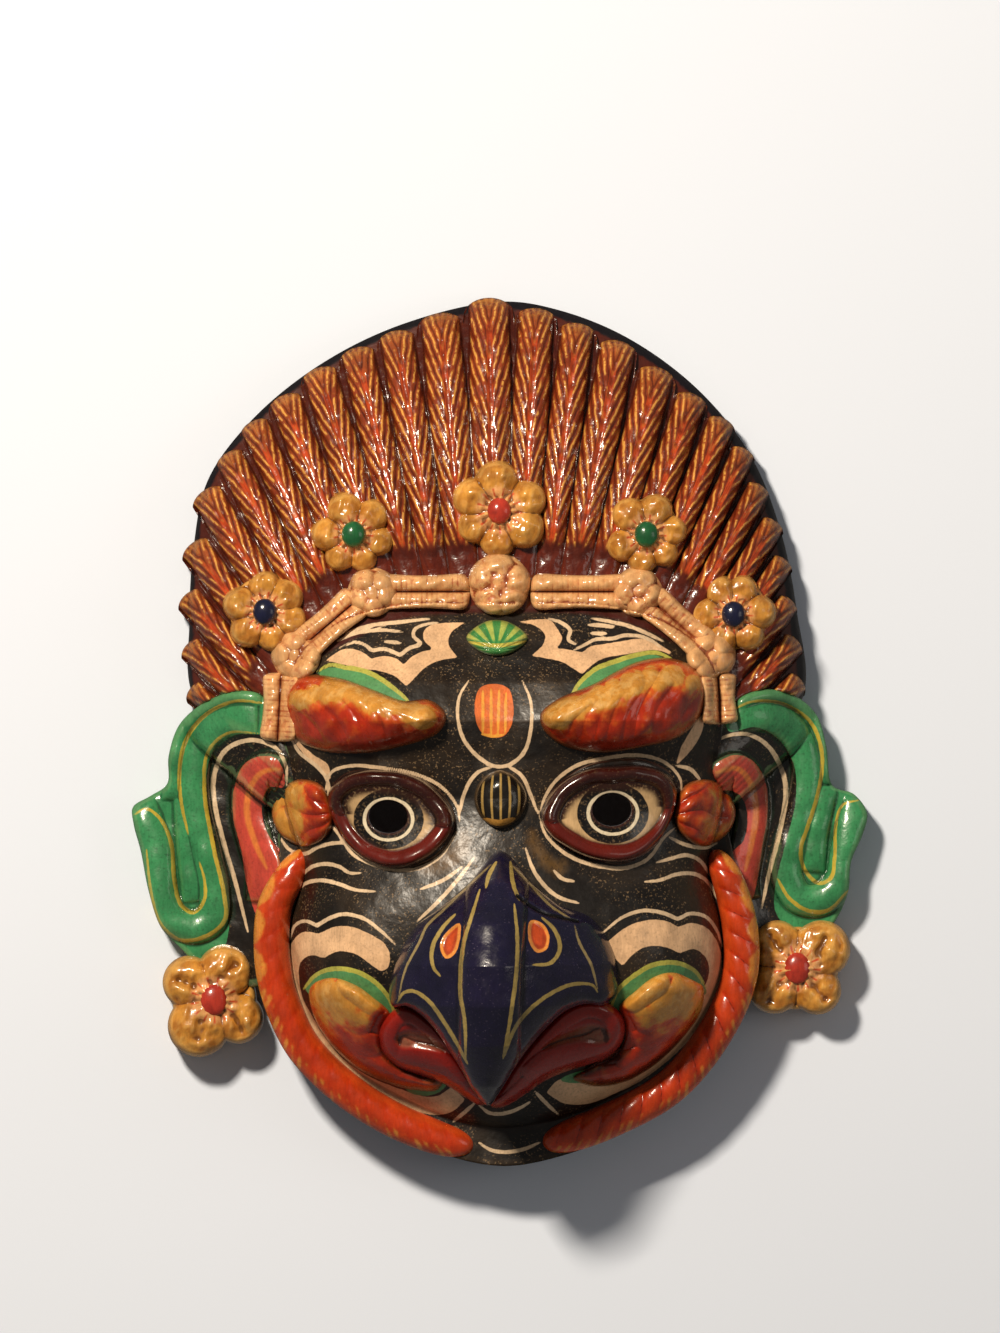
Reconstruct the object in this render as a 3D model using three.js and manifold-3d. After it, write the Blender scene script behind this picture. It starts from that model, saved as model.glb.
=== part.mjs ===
// A bird deity's dance mask, moulded in one piece: a domed face with a hooked beak, brows, round eyes and a
// beard band, a fan of hair locks behind a crown of bones and flowers, scrolled ears and a flower under each.
// Millimetres. The mask lies on its back: +X across the face, +Y to the top of the hair, +Z out of the face.
import * as THREE from 'three';
import { mergeVertices } from 'three/addons/utils/BufferGeometryUtils.js';
import Module from 'manifold-3d';

const wasm = await Module();
wasm.setup();

// The whole mask
const maskWidth = 290; // over the ears
const maskHeight = 340; // chin to the tip of the middle lock
const maskDepth = 125; // back rim to the ridge of the beak

// The shell
const wall = 8; // paste shell of the face and the fan
const faceRim = 30; // height of the face's edge over the back
const fanRim = 12; // thickness of the fan at its outer edge
const fanRoot = 44; // height of the fan where the crown stands on it
const fanLip = 12; // flat edge left round the hollow of the fan
const earThickness = 15;

// Eyes
const pupilSpacing = 87.3;
const pupilWidth = 15.4;
const pupilHeight = 13.2;
const eyeballRise = 12;
const lidRise = 8;

// Relief on the face
const browRise = 12;
const lipRise = 11;
const cheekLobeRise = 8;
const tuftRise = 9;
const jewelRise = 7;
const bossRise = 9;
const ruffWidth = 13;

// Hair, crown and ears
const lockRise = 8;
const lockRoot = 0.6; // share of the fan's outline where the locks rise out of it
const boneWidth = 15; // both ridges of one bone
const knuckleRadius = 9.5;
const crownFlowerRadius = 17;
const crownFlowerRise = 11;
const earFlowerRadius = 20;
const earFlowerRise = 9;
const beadRadius = 4.6;
const scrollWidth = 18;
const conchWidth = 13;
const earRelief = 6;

// The carving is drawn in plan, in percent of the mask's width and height from the middle of its box
const across = maskWidth / 100;
const up = maskHeight / 100;
const deep = maskDepth / 100;
const at = ([x, y]) => new THREE.Vector2(x * across, y * up);

const faceOutline = [
  [0, 14.9], [13.6, 14.7], [22.8, 12.5], [28.2, 8.4], [30.4, 0.9], [30.4, -7.8], [32.2, -15.9], [34.3, -22.8],
  [34.3, -29.2], [30.9, -35.8], [24.7, -41.8], [16.3, -46.2], [8.1, -48.9], [0.7, -50], [-6.8, -48.9],
  [-15.2, -45.9], [-23.8, -41.3], [-29.7, -35], [-32.2, -28.6], [-32.5, -22.8], [-30.4, -15.9], [-29.3, -7.8],
  [-29.8, 1.3], [-27.5, 8.4], [-22, 12.6], [-13.6, 14.7],
];
const faceMiddle = [0, -17];
const ruffInner = 0.87; // share of the face's outline where the skin ends and the beard band begins
const fanOutline = [
  [0, 50], [8.1, 49], [17.6, 45.7], [27.1, 39.7], [34.1, 32.2], [38.2, 23.5], [40.4, 14.2], [41.2, 4],
  [32, -4], [28, -14], [26, -26], [15, -36], [0, -39], [-15, -36], [-26, -26], [-28, -14], [-32, -4],
  [-41.7, 4], [-42.3, 13.1], [-41.7, 21.8], [-39.8, 29.3], [-33.9, 36.2], [-24.7, 42.6], [-13.6, 47.3],
];
const fanMiddle = [0, -26]; // where the locks point, behind the face
const fanTable = 0.55; // share of the fan's outline where it starts to fall away to its edge

// Height of the face's middle line over the back, [percent up, percent of the depth]
const faceProfile = [
  [-50, 24], [-44.1, 43], [-38.2, 53], [-29.4, 60], [-20.6, 62], [-13.2, 61], [-7.4, 60], [-2.9, 62],
  [1.5, 66], [5.9, 65], [10.9, 56], [14.9, 46],
];
// Swellings and hollows of the face, [place, spread, percent of the depth]
const faceSwellings = [
  [[-17, 3], [11, 4.5], 5], [[17, 3.5], [11, 4.5], 5],
  [[-15, -9.5], [9, 5], -7], [[15.2, -8.7], [9, 5], -7],
  [[-21, -29], [9, 8], 8], [[22, -29], [9, 8], 8],
  [[0, -29], [8, 10], 13],
];

const brows = [
  [
    [-29.3, 4.7], [-27.1, 6.6], [-21.7, 6.4], [-16.9, 5], [-12.9, 3.8], [-9.5, 3.9], [-7.2, 2.2], [-8.1, 0.2],
    [-13.3, -1.5], [-19, -2.3], [-24.7, -1.9], [-28.2, -0.2],
  ],
  [
    [5.4, 2.2], [7.6, 3.9], [12.5, 5.7], [18.3, 8.2], [22.8, 8.7], [26.7, 7.3], [27.9, 4.7], [27.1, 2],
    [24.4, -0.3], [19, -1.6], [13.6, -2.2], [8.7, -1.5], [6, 0.2],
  ],
];
const eyes = [
  [
    [-23.6, -6.6], [-21, -4.1], [-16.3, -3.8], [-10.8, -4.6], [-7, -6.9], [-5.4, -10.1], [-7.3, -13.7],
    [-10.8, -15.5], [-14.9, -15.9], [-19.2, -14.4], [-22.5, -11.1],
  ],
  [
    [4.9, -9.1], [6.5, -6.4], [10.6, -3.5], [14.9, -2.5], [19.6, -2.5], [23.3, -4.1], [24.4, -6.6],
    [22.8, -11.3], [19.6, -14.4], [16, -15.5], [12.2, -14.8], [8.1, -13.1], [5.8, -11.2],
  ],
];
const pupilLevels = [-9.5, -8.7];
const beakOutline = [
  [0, -13.3], [4.1, -16.8], [8.1, -19.6], [12.2, -20.9], [15, -24], [16, -27.4], [15.7, -31], [12.2, -29.2],
  [8.1, -29.4], [4.9, -31.1], [2.4, -33.7], [0.8, -37.6], [-1.8, -42.7], [-4.1, -38.1], [-6.4, -34.4],
  [-9.2, -31.1], [-11.9, -29.7], [-14.2, -31.5], [-14.8, -29.2], [-13.7, -25.7], [-11.5, -22.2],
  [-8.1, -19.9], [-4.1, -17],
];
const beakMiddle = [-0.5, -26];
// Ridge of the beak, [percent up, percent across, percent of the depth]
const beakRidge = [
  [-43.5, -1.8, 62], [-40.2, -1.6, 78], [-35.5, -1.4, 91], [-30.9, -1.3, 98.5], [-26.3, -1.1, 100],
  [-21.6, -0.7, 94], [-17, -0.3, 82], [-13.3, 0, 69],
];
const beakRidgeHalf = 3.6; // percent of the width
const beakFlank = 24; // how far the flanks fall away from the ridge, percent of the depth
const lips = [
  [
    [-15.9, -35.9], [-15.7, -33.2], [-13.6, -31.4], [-10.7, -31.4], [-7.9, -33.7], [-5.7, -36.7],
    [-3.7, -40.2], [-1.5, -43.2], [-5.7, -41.6], [-9.5, -39.2], [-13.6, -38.1],
  ],
  [
    [0.4, -43.2], [2.4, -40.2], [4.9, -36.5], [8.1, -33], [12.2, -30.8], [15.3, -31.8], [16.7, -34.4],
    [15.2, -37.2], [10.2, -38.7], [5.4, -41.3],
  ],
];
const cheekLobes = [
  [
    [-25.9, -29.2], [-24.3, -27.2], [-21, -26.5], [-17.1, -27.9], [-14.8, -30.7], [-15.2, -34.4],
    [-14.1, -37.8], [-8.4, -40.9], [-12.2, -41.3], [-17.3, -39.7], [-22, -36.7], [-24.9, -33],
  ],
  [
    [15.2, -31.4], [18.2, -27.3], [22, -26.2], [26, -27], [28.3, -29.7], [26.6, -33.2], [22.8, -36.9],
    [17.9, -39.7], [12.5, -40.6], [14.4, -37.8], [16.5, -34.8],
  ],
];
const tufts = [
  [
    [-23, -7.8], [-24.1, -5.9], [-27.4, -5.3], [-30.1, -6.8], [-31, -9.4], [-29.8, -11.8], [-26.8, -13.1],
    [-23.8, -12.2], [-22.5, -10.1],
  ],
  [
    [23.8, -7.8], [25.2, -5.8], [28.2, -5.3], [30.8, -6.6], [32, -9.1], [30.9, -11.6], [27.9, -13.1],
    [25.2, -12.2], [23.6, -10.1],
  ],
];
const jewel = [
  [-4.6, 11], [-2.7, 12.6], [-0.5, 13.1], [1.8, 12.6], [3.8, 11], [1.9, 9.4], [-0.5, 8.9], [-2.8, 9.4],
];
const boss = [
  [0, -4.1], [2.4, -5.1], [3.7, -7.3], [2.7, -9.6], [0, -10.9], [-2.6, -9.6], [-3.5, -7.3], [-2.4, -5.1],
];
const ruffs = [
  [
    [-26.3, -13.5], [-28.6, -16.6], [-30.5, -19.9], [-31, -24], [-30.6, -28], [-29.3, -31.8], [-26.7, -36.2],
    [-21.7, -40.6], [-15.2, -44.3], [-8.9, -46.6], [-3.5, -47.9],
  ],
  [
    [28.9, -13.5], [31, -17.2], [32.5, -22.2], [32.7, -26.9], [31.3, -31.2], [27.1, -37.2], [22.4, -41.3],
    [16, -44.3], [10.2, -46.3], [5.7, -47.5],
  ],
];
const ears = [
  [
    [-28.5, -1.4], [-31.7, 4.1], [-35.5, 4.9], [-40.2, 3.5], [-43.6, 1], [-45.1, -2.7], [-45.3, -5.9],
    [-47.6, -7.3], [-50, -8.6], [-49.9, -10.5], [-48.9, -13.8], [-47.8, -18.4], [-46.1, -22.6],
    [-43.1, -25.3], [-40, -28], [-32.2, -29.2], [-28, -22.8], [-25, -14.7],
  ],
  [
    [28.7, -1.4], [31.8, 3.6], [35.4, 5], [39.6, 4.5], [43, 2.2], [44.4, -1.5], [45.3, -6.1],
    [48.2, -7.1], [50, -9.3], [49.5, -11.5], [47.8, -14.9], [47.4, -18.4], [45.8, -21.6], [42.3, -25.1],
    [34.8, -26.9], [30, -22.8], [26, -14.7],
  ],
];
const scrolls = [
  [
    [-32.2, 2.2], [-36.9, 2.7], [-41.3, 0.1], [-42.6, -6], [-40.9, -13], [-39.3, -19.3], [-41.6, -23.4],
    [-45, -21.6], [-46.4, -15.9], [-47.2, -9.6],
  ],
  [
    [31.8, 2], [36.3, 3], [41.3, 0.6], [43.2, -4.9], [42.3, -11.2], [40, -17], [42.3, -21.7], [45.4, -19.9],
    [46.6, -15.3], [47.6, -9.4],
  ],
];
const conches = [
  [[-29.8, -6.6], [-31.7, -4.1], [-34.4, -6], [-34.8, -11.2], [-33.5, -17], [-32.2, -20.5]],
  [[28.7, -5.2], [32.2, -3.4], [35, -6], [35.5, -11.2], [34.1, -17], [32.8, -19.9]],
];
const earFlowers = [[-38.9, -30.9], [40.4, -27.2]];
const crownFlowers = [[-0.1, 25.6], [-19.8, 22.9], [19.8, 22.9], [-31.8, 14], [31.6, 13.7]];
const crownBones = [
  [[-4, 16.3], [-17.3, 16.3]], [[-19, 15.6], [-27.5, 9.4]], [[-29.6, 7], [-30.1, -1]],
  [[4, 16.3], [18.7, 16.3]], [[20, 15.6], [28.5, 9.4]], [[29.5, 7], [29.8, 1]],
];
const crownKnuckles = [[-0.1, 17.2], [-17.3, 16.3], [18.7, 16.3], [-27.6, 9], [28.6, 9]];
const lockTips = [
  [-41.3, 4.6], [-41.9, 9.6], [-42.1, 15.4], [-41.5, 21.2], [-39.6, 27.5], [-36.6, 31.8], [-33.4, 35.4],
  [-29.3, 38.4], [-24.6, 41.6], [-19.2, 44], [-14.3, 45.9], [-8.3, 48], [-1.4, 49.8], [5.2, 48.6],
  [10.4, 46.9], [15.9, 44.9], [21.5, 41.8], [26.2, 38.8], [30.3, 36], [33.2, 32.5], [35.1, 28.4],
  [37.2, 24.2], [38.5, 19.8], [39.2, 15.2], [40, 10.6], [40.6, 6],
];

// Solids from three.js geometry: shared corners merged, collapsed faces dropped, faces turned outwards
function solid(geometry) {
  geometry.deleteAttribute('normal');
  geometry.deleteAttribute('uv');
  const merged = mergeVertices(geometry, 1e-5);
  const corners = merged.attributes.position.array;
  const faces = [];
  let volume = 0;
  for (let i = 0; i < merged.index.count; i += 3) {
    const [a, b, c] = [0, 1, 2].map((k) => merged.index.getX(i + k));
    if (a === b || b === c || c === a) continue;
    faces.push(a, b, c);
    const [p, q, r] = [a, b, c].map((k) => new THREE.Vector3().fromArray(corners, 3 * k));
    volume += p.dot(q.cross(r));
  }
  if (volume < 0) faces.reverse();
  const mesh = { numProp: 3, vertProperties: new Float32Array(corners), triVerts: new Uint32Array(faces) };
  return new wasm.Manifold(new wasm.Mesh(mesh));
}

const joined = (solids) => solids.reduce((whole, piece) => whole.add(piece));

// Moves each corner of a geometry that was made by rows and columns; place gets the column and the row
function shaped(geometry, columns, place) {
  const position = geometry.attributes.position;
  for (let i = 0; i < position.count; i++) {
    const corner = place(i % columns, Math.floor(i / columns));
    position.setXYZ(i, corner.x, corner.y, corner.z);
  }
  return geometry;
}

// A closed outline, drawn in plan, as evenly spaced points
function edgeOf(outline, count) {
  const points = outline.map(at).map((p) => new THREE.Vector3(p.x, p.y, 0));
  const curve = new THREE.CatmullRomCurve3(points, true, 'centripetal');
  return curve.getSpacedPoints(count).slice(0, count).map((p) => new THREE.Vector2(p.x, p.y));
}

function middleOf(edge) {
  const sum = edge.reduce((total, p) => total.add(p), new THREE.Vector2());
  return sum.divideScalar(edge.length);
}

const evenRings = (count) => Array.from({ length: count + 1 }, (_, i) => i / count);

// A pillow: an outline filled with rings round its middle, between a top surface and an under surface, or a
// flat underside where that is a number
function pillow(edge, middle, rings, topAt, underAt) {
  const under = typeof underAt === 'function' ? underAt : () => underAt;
  const profile = rings.map((share) => new THREE.Vector2(share, 1));
  const underRings = under === underAt ? rings.toReversed() : [1, 0];
  profile.push(...underRings.map((share) => new THREE.Vector2(share, -1)));
  const turned = new THREE.LatheGeometry(profile, edge.length);
  return solid(shaped(turned, profile.length, (row, spoke) => {
    const share = profile[row].x;
    const rim = edge[spoke % edge.length];
    const plan = middle.clone().lerp(rim, share);
    const z = profile[row].y > 0 ? topAt(plan, share, rim) : under(plan);
    return { x: plan.x, y: plan.y, z };
  }));
}

// A strand: a round-ended rope along a path in plan. It rises over the height that a function gives, is bedded
// under it, and may have a groove along its top
function strand(path, { heightAt, halfWidthAt, rise, depth, steps, sides, groove = 0 }) {
  const points = path.map((p) => new THREE.Vector3(p.x, p.y, 0));
  const curve = new THREE.CatmullRomCurve3(points, false, 'centripetal');
  return solid(shaped(new THREE.SphereGeometry(1, sides, steps), sides + 1, (column, row) => {
    const turn = (2 * Math.PI * (column % sides)) / sides;
    const share = (1 - Math.cos((Math.PI * row) / steps)) / 2;
    const rounding = row === 0 || row === steps ? 0 : Math.sqrt(Math.sin((Math.PI * row) / steps));
    const point = curve.getPointAt(share);
    const tangent = curve.getTangentAt(share);
    const sideways = halfWidthAt(share) * rounding * Math.cos(turn);
    const crest = Math.sin(turn);
    const thickness = crest > 0 ? rise * (1 - groove * crest ** 6) : depth;
    return {
      x: point.x - tangent.y * sideways,
      y: point.y + tangent.x * sideways,
      z: heightAt(new THREE.Vector2(point.x, point.y), share) + thickness * rounding * crest,
    };
  }));
}

// The distance from an outline's middle to its edge at an angle
function reachOf(outline, middle) {
  const rays = edgeOf(outline, 240).map((p) => p.sub(at(middle))).map((p) => [p.angle(), p.length()]);
  rays.sort((a, b) => a[0] - b[0]);
  return (angle) => rays[Math.max(rays.findIndex((ray) => ray[0] >= angle), 0)][1];
}

// How far out a point lies in an outline: 0 at the middle, 1 on the edge
function shareIn(reach, middle) {
  return (p) => {
    const arm = p.clone().sub(at(middle));
    return arm.length() / reach(arm.angle());
  };
}

function between(table, x) {
  const last = table.length - 1;
  if (x <= table[0][0]) return table[0].slice(1);
  if (x >= table[last][0]) return table[last].slice(1);
  const i = table.findIndex((row) => row[0] > x);
  const share = (x - table[i - 1][0]) / (table[i][0] - table[i - 1][0]);
  return table[i].slice(1).map((v, k) => THREE.MathUtils.lerp(table[i - 1][k + 1], v, share));
}

const faceShare = shareIn(reachOf(faceOutline, faceMiddle), faceMiddle);
const fanReach = reachOf(fanOutline, fanMiddle);
const fanShare = shareIn(fanReach, fanMiddle);

// The face's skin under all relief
function faceTop(p) {
  const skinEdge = THREE.MathUtils.lerp(ruffInner, 1, THREE.MathUtils.smoothstep(p.y, -18 * up, -6 * up));
  const share = Math.min(faceShare(p) / skinEdge, 1);
  const crest = between(faceProfile, p.y / up)[0] * deep;
  const rim = THREE.MathUtils.lerp(faceRim, fanRoot, THREE.MathUtils.smoothstep(p.y, -4 * up, 14 * up));
  let z = rim + Math.max(crest - rim, 0) * (1 - share ** 2.6) ** 0.62;
  for (const [place, spread, rise] of faceSwellings) {
    const from = p.clone().sub(at(place));
    const near = (from.x / (spread[0] * across)) ** 2 + (from.y / (spread[1] * up)) ** 2;
    z += rise * deep * Math.exp(-near) * (1 - share ** 6);
  }
  return z;
}

// The fan's skin under the locks
function fanTop(p) {
  const fall = THREE.MathUtils.clamp((fanShare(p) - fanTable) / (1 - fanTable), 0, 1);
  return fanRim + (fanRoot - fanRim) * (1 - fall ** 2) ** 0.7;
}
const crownTop = (p) => Math.max(faceShare(p) < 1 ? faceTop(p) : 0, fanTop(p));

const belowBack = -6; // forms start under the back plane and are cut off flat on it
const bedding = 5; // how deep a relief form sits in what carries it

// Relief on a skin: an outline that swells over the skin and sits a little inside it
function relief(outline, skin, rise, rings, spokes, under = (p) => skin(p) - bedding) {
  const edge = edgeOf(outline, spokes);
  const swell = (share) => rise * (1 - share ** 2.4) ** 0.6;
  return pillow(edge, middleOf(edge), evenRings(rings), (p, share) => skin(p) - 0.5 + swell(share), under);
}

function faceShell() {
  return pillow(edgeOf(faceOutline, 40), at(faceMiddle), evenRings(8), faceTop, belowBack);
}

// The fan: its locks are ridges along rays from its middle, with round tips at its edge
function fanShell() {
  const middle = at(fanMiddle);
  const rimPoint = (angle, crest) => {
    const ray = new THREE.Vector2(Math.cos(angle), Math.sin(angle)).multiplyScalar(fanReach(angle));
    return Object.assign(ray.add(middle), { crest });
  };
  const rays = lockTips.map((tip) => at(tip).sub(middle).angle());
  const halfStep = (i) => (rays[Math.max(i, 1) - 1] - rays[Math.max(i, 1)]) / 2;
  const edge = rays.flatMap((ray, i) => [
    rimPoint(ray + halfStep(i), 0), rimPoint(ray + halfStep(i) / 2, 0.75), rimPoint(ray, 1),
    rimPoint(ray - halfStep(i + 1 < rays.length ? i + 1 : i) / 2, 0.75),
  ]);
  const first = rays[0] + halfStep(0);
  const last = rays.at(-1) - halfStep(rays.length - 1);
  const under = 10;
  for (let i = 0; i < under; i++) edge.push(rimPoint(last - ((last + 2 * Math.PI - first) * i) / under, 0));
  const topAt = (p, share, rim) => {
    const grown = THREE.MathUtils.smoothstep(share, lockRoot, 0.8);
    return fanTop(p) + lockRise * grown * (rim.crest - 0.4) * (share < 1 ? 1 : 0);
  };
  return pillow(edge, middle, [0, lockRoot, 0.72, 0.86, 0.97, 1], topAt, belowBack);
}

// The hollow that the wearer's head goes into: the same forms, a wall's thickness in
function hollow() {
  const rings = evenRings(4);
  const spokes = 20;
  const faceEdge = edgeOf(faceOutline, spokes);
  const inset = (middle, edge, by) => edge.map((p) => p.clone().add(middle.clone().sub(p).setLength(by)));
  const middle = at(faceMiddle);
  const underFace = (p, share, rim) => {
    const outer = faceEdge[inner.indexOf(rim)];
    return faceTop(middle.clone().lerp(outer, share)) - wall;
  };
  const inner = inset(middle, faceEdge, wall * 1.15);
  const faceHollow = pillow(inner, middle, rings, underFace, belowBack);
  const fanInner = inset(at(fanMiddle), edgeOf(fanOutline, spokes), fanLip);
  const underFan = (p) => fanTop(p) - wall;
  return faceHollow.add(pillow(fanInner, at(fanMiddle), rings, underFan, belowBack));
}

// A flower: petals round a bead
function flower(centre, skin, radius, rise, petals, twist) {
  const spokes = petals * 3;
  const middle = at(centre);
  const swellOf = (turn) => Math.abs(Math.cos((petals * (turn - twist)) / 2)) ** 0.7;
  const edge = Array.from({ length: spokes }, (_, i) => {
    const turn = (2 * Math.PI * i) / spokes;
    const reach = radius * (0.8 + 0.2 * swellOf(turn));
    return middle.clone().add(new THREE.Vector2(Math.cos(turn), Math.sin(turn)).multiplyScalar(reach));
  });
  const bead = beadRadius / radius;
  const topAt = (p, share, rim) => {
    if (share < bead) return skin(middle) + rise * 0.75 + beadRadius * Math.sqrt(1 - (share / bead) ** 2);
    const ribs = THREE.MathUtils.smoothstep(share, bead, 2 * bead);
    const dome = (1 - share ** 3) ** 0.5 * (0.7 + 0.3 * ribs);
    return skin(middle) + rise * dome * (1 - 0.28 * ribs * (1 - swellOf(rim.clone().sub(middle).angle())));
  };
  const rings = [0, bead * 0.7, bead, (1 + 2 * bead) / 3, (3 + bead) / 4, 1];
  return pillow(edge, middle, rings, topAt, skin(middle) - bedding - rise);
}

// A bone of the crown: two ridges side by side
function bone(ends) {
  return strand(ends.map(at), {
    heightAt: (p) => crownTop(p) + boneWidth * 0.15, halfWidthAt: () => boneWidth / 2,
    rise: boneWidth * 0.45, depth: 2 * boneWidth, steps: 4, sides: 8, groove: 0.4,
  });
}

function knuckle(place) {
  const middle = at(place);
  const ball = new THREE.SphereGeometry(knuckleRadius, 9, 6);
  ball.rotateX(Math.PI / 2);
  ball.translate(middle.x, middle.y, crownTop(middle) + 1);
  return solid(ball);
}

// The beak: flanks that fall away on both sides of a round ridge, hooked down at its tip
function beak() {
  const topAt = (p, share) => {
    const [ridgeX, ridgeZ] = between(beakRidge, p.y / up);
    const off = Math.abs(p.x / across - ridgeX);
    const ridge = 7 * Math.max(1 - (off / beakRidgeHalf) ** 2, 0) ** 0.5;
    const flank = ridgeZ - 7 - beakFlank * (Math.max(off - beakRidgeHalf, 0) / 12) ** 1.2;
    const edgeDrop = 5 * share ** 8;
    return Math.max((flank + ridge - edgeDrop) * deep, faceTop(p) + 1);
  };
  const edge = edgeOf(beakOutline, 32);
  return pillow(edge, at(beakMiddle), evenRings(6), topAt, (p) => faceTop(p) - bedding);
}

// An eye: a ball that swells inside a raised ring of lids
function eye(outline) {
  const edge = edgeOf(outline, 18);
  const ballShare = 0.74;
  const lidShare = 0.87;
  const rings = [0, 0.3, 0.55, ballShare, lidShare, 1];
  const topAt = (p, share) => {
    const ball = share < ballShare ? eyeballRise * (1 - (share / ballShare) ** 2.4) ** 0.6 : 0;
    const lid = lidRise * Math.max(1 - ((share - lidShare) / (1 - lidShare)) ** 2, 0);
    return faceTop(p) - 0.5 + ball + lid;
  };
  return pillow(edge, middleOf(edge), rings, topAt, (p) => faceTop(p) - bedding);
}

function pupilHole(side, level) {
  const hole = new THREE.CylinderGeometry(0.5, 0.5, maskDepth * 2, 20);
  hole.rotateX(Math.PI / 2);
  hole.scale(pupilWidth, pupilHeight, 1);
  hole.translate((side * pupilSpacing) / 2, level * up, 0);
  return solid(hole);
}

// Height of the side of the mask where the ears stand: thin at the outside, up to the face's edge inside
function earTop(p) {
  const outside = Math.max(Math.abs(p.x) / across - 30, 0);
  return earThickness + Math.max(faceRim - earThickness, 0) * Math.exp(-outside / 4);
}

function ear(side) {
  const edge = edgeOf(ears[side], 24);
  const middle = at([side ? 38 : -38, -12]);
  const plate = pillow(edge, middle, evenRings(2), (p) => earTop(p) - 4, belowBack);
  const scroll = strand(scrolls[side].map(at), {
    heightAt: earTop,
    halfWidthAt: (share) => (scrollWidth / 2) * (0.75 + 0.35 * Math.sin(Math.PI * share)),
    rise: earRelief, depth: earRelief, steps: 11, sides: 6,
  });
  const conch = strand(conches[side].map(at), {
    heightAt: earTop, halfWidthAt: () => conchWidth / 2, rise: earRelief, depth: earRelief, steps: 7, sides: 6,
  });
  return joined([plate, scroll, conch]);
}

function ruff(path) {
  const heightAt = (p) => faceRim + 4 * (1 - THREE.MathUtils.smoothstep(-p.y, 15 * up, 45 * up));
  return strand(path.map(at), {
    heightAt, halfWidthAt: () => ruffWidth / 2, rise: ruffWidth / 2, depth: ruffWidth / 2, steps: 13, sides: 6,
  });
}

const earSkin = (p) => earTop(p) - 2;
const crownFlower = (place, i) => {
  const radius = crownFlowerRadius * (i ? 0.92 : 1);
  return flower(place, crownTop, radius, crownFlowerRise, 7, i);
};
const forms = [
  faceShell(),
  fanShell(),
  beak(),
  relief(jewel, faceTop, jewelRise, 2, 12),
  relief(boss, faceTop, bossRise, 3, 12),
  ...brows.map((outline) => relief(outline, faceTop, browRise, 3, 20)),
  ...eyes.map(eye),
  ...lips.map((outline) => relief(outline, (p) => faceTop(p) + 4, lipRise, 3, 18)),
  ...cheekLobes.map((outline) => relief(outline, faceTop, cheekLobeRise, 3, 16)),
  ...tufts.map((outline) => relief(outline, faceTop, tuftRise, 3, 12, belowBack)),
  ...ruffs.map(ruff),
  ...crownBones.map(bone),
  ...crownKnuckles.map(knuckle),
  ...crownFlowers.map(crownFlower),
  ...[0, 1].map(ear),
  ...earFlowers.map((place) => flower(place, earSkin, earFlowerRadius, earFlowerRise, 6, 0.3)),
];

const underBack = new THREE.BoxGeometry(2 * maskWidth, 2 * maskHeight, maskDepth);
underBack.translate(0, 0, -maskDepth / 2);
const whole = joined(forms)
  .subtract(hollow())
  .subtract(solid(underBack))
  .subtract(pupilHole(-1, pupilLevels[0]))
  .subtract(pupilHole(1, pupilLevels[1]));

const { vertProperties, triVerts } = whole.getMesh();
const geometry = new THREE.BufferGeometry();
geometry.setAttribute('position', new THREE.BufferAttribute(new Float32Array(vertProperties), 3));
geometry.setIndex(new THREE.BufferAttribute(new Uint32Array(triVerts), 1));
geometry.computeVertexNormals();

const lacquer = new THREE.MeshStandardMaterial({ color: 0x7a3020, roughness: 0.35, metalness: 0 });
const mask = new THREE.Mesh(geometry, lacquer);
mask.name = 'mask';

const model = new THREE.Group();
model.add(mask);
export default model;
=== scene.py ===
# %% [markdown]
# # A painted bird mask for a masked dance
# Such a mask is built up over a clay form from layers of cloth, paper pulp and paste. When it is
# dry the maker smooths it with clay and glue, models the finer relief on top, paints it with opaque
# tempera colours and varnishes it until it shines. This notebook dresses the CAD solid of the mask
# in that relief and paint. Every form here is drawn in the same grid as the CAD model: percent of
# the mask's width and height from its middle, and heights in millimetres over the back rim. The
# mask lies on its back and looks straight up.

# %% Tools, the fixed frame and the drawing grid
import math

import bmesh
import bpy
import numpy as np
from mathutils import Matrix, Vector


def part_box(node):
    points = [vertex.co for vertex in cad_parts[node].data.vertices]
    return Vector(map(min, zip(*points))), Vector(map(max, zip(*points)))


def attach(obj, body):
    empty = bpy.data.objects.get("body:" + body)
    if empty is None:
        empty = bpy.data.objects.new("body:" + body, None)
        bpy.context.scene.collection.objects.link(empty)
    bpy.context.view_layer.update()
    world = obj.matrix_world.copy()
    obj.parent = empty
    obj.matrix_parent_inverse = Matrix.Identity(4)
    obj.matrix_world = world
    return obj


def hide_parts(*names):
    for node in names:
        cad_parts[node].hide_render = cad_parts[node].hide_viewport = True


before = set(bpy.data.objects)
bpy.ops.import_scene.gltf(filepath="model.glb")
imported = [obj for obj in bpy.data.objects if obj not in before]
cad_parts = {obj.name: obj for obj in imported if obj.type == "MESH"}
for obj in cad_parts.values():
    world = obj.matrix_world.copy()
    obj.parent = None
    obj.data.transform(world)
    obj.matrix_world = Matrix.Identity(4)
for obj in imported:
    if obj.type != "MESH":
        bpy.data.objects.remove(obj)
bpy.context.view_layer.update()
MM = 0.001
low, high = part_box("mask")
percent = np.array([high.x - low.x, high.y - low.y]) / MM / 100
across, up = percent
deep = high.z / MM / 100
print("one percent is", percent.round(2), "mm in plan and", round(deep, 2), "mm in depth")

# %% [markdown]
# ## Camera
# The photograph looks the mask straight in the face. A long lens from far off keeps the ears and
# the beak at one scale, as in a picture of a flat thing, so the camera hangs high over the lying
# mask.

# %% Camera over the mask
PHOTO_ROWS = 1333
MASK_ROWS = 864  # rows of the photograph from the chin to the tip of the middle lock
MASK_MIDDLE_ROW = 733
CAMERA_HEIGHT = 5.0
SILHOUETTE_HEIGHT = 0.02  # the ears and the hair's edge lie about this high
SENSOR = 36

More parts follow.
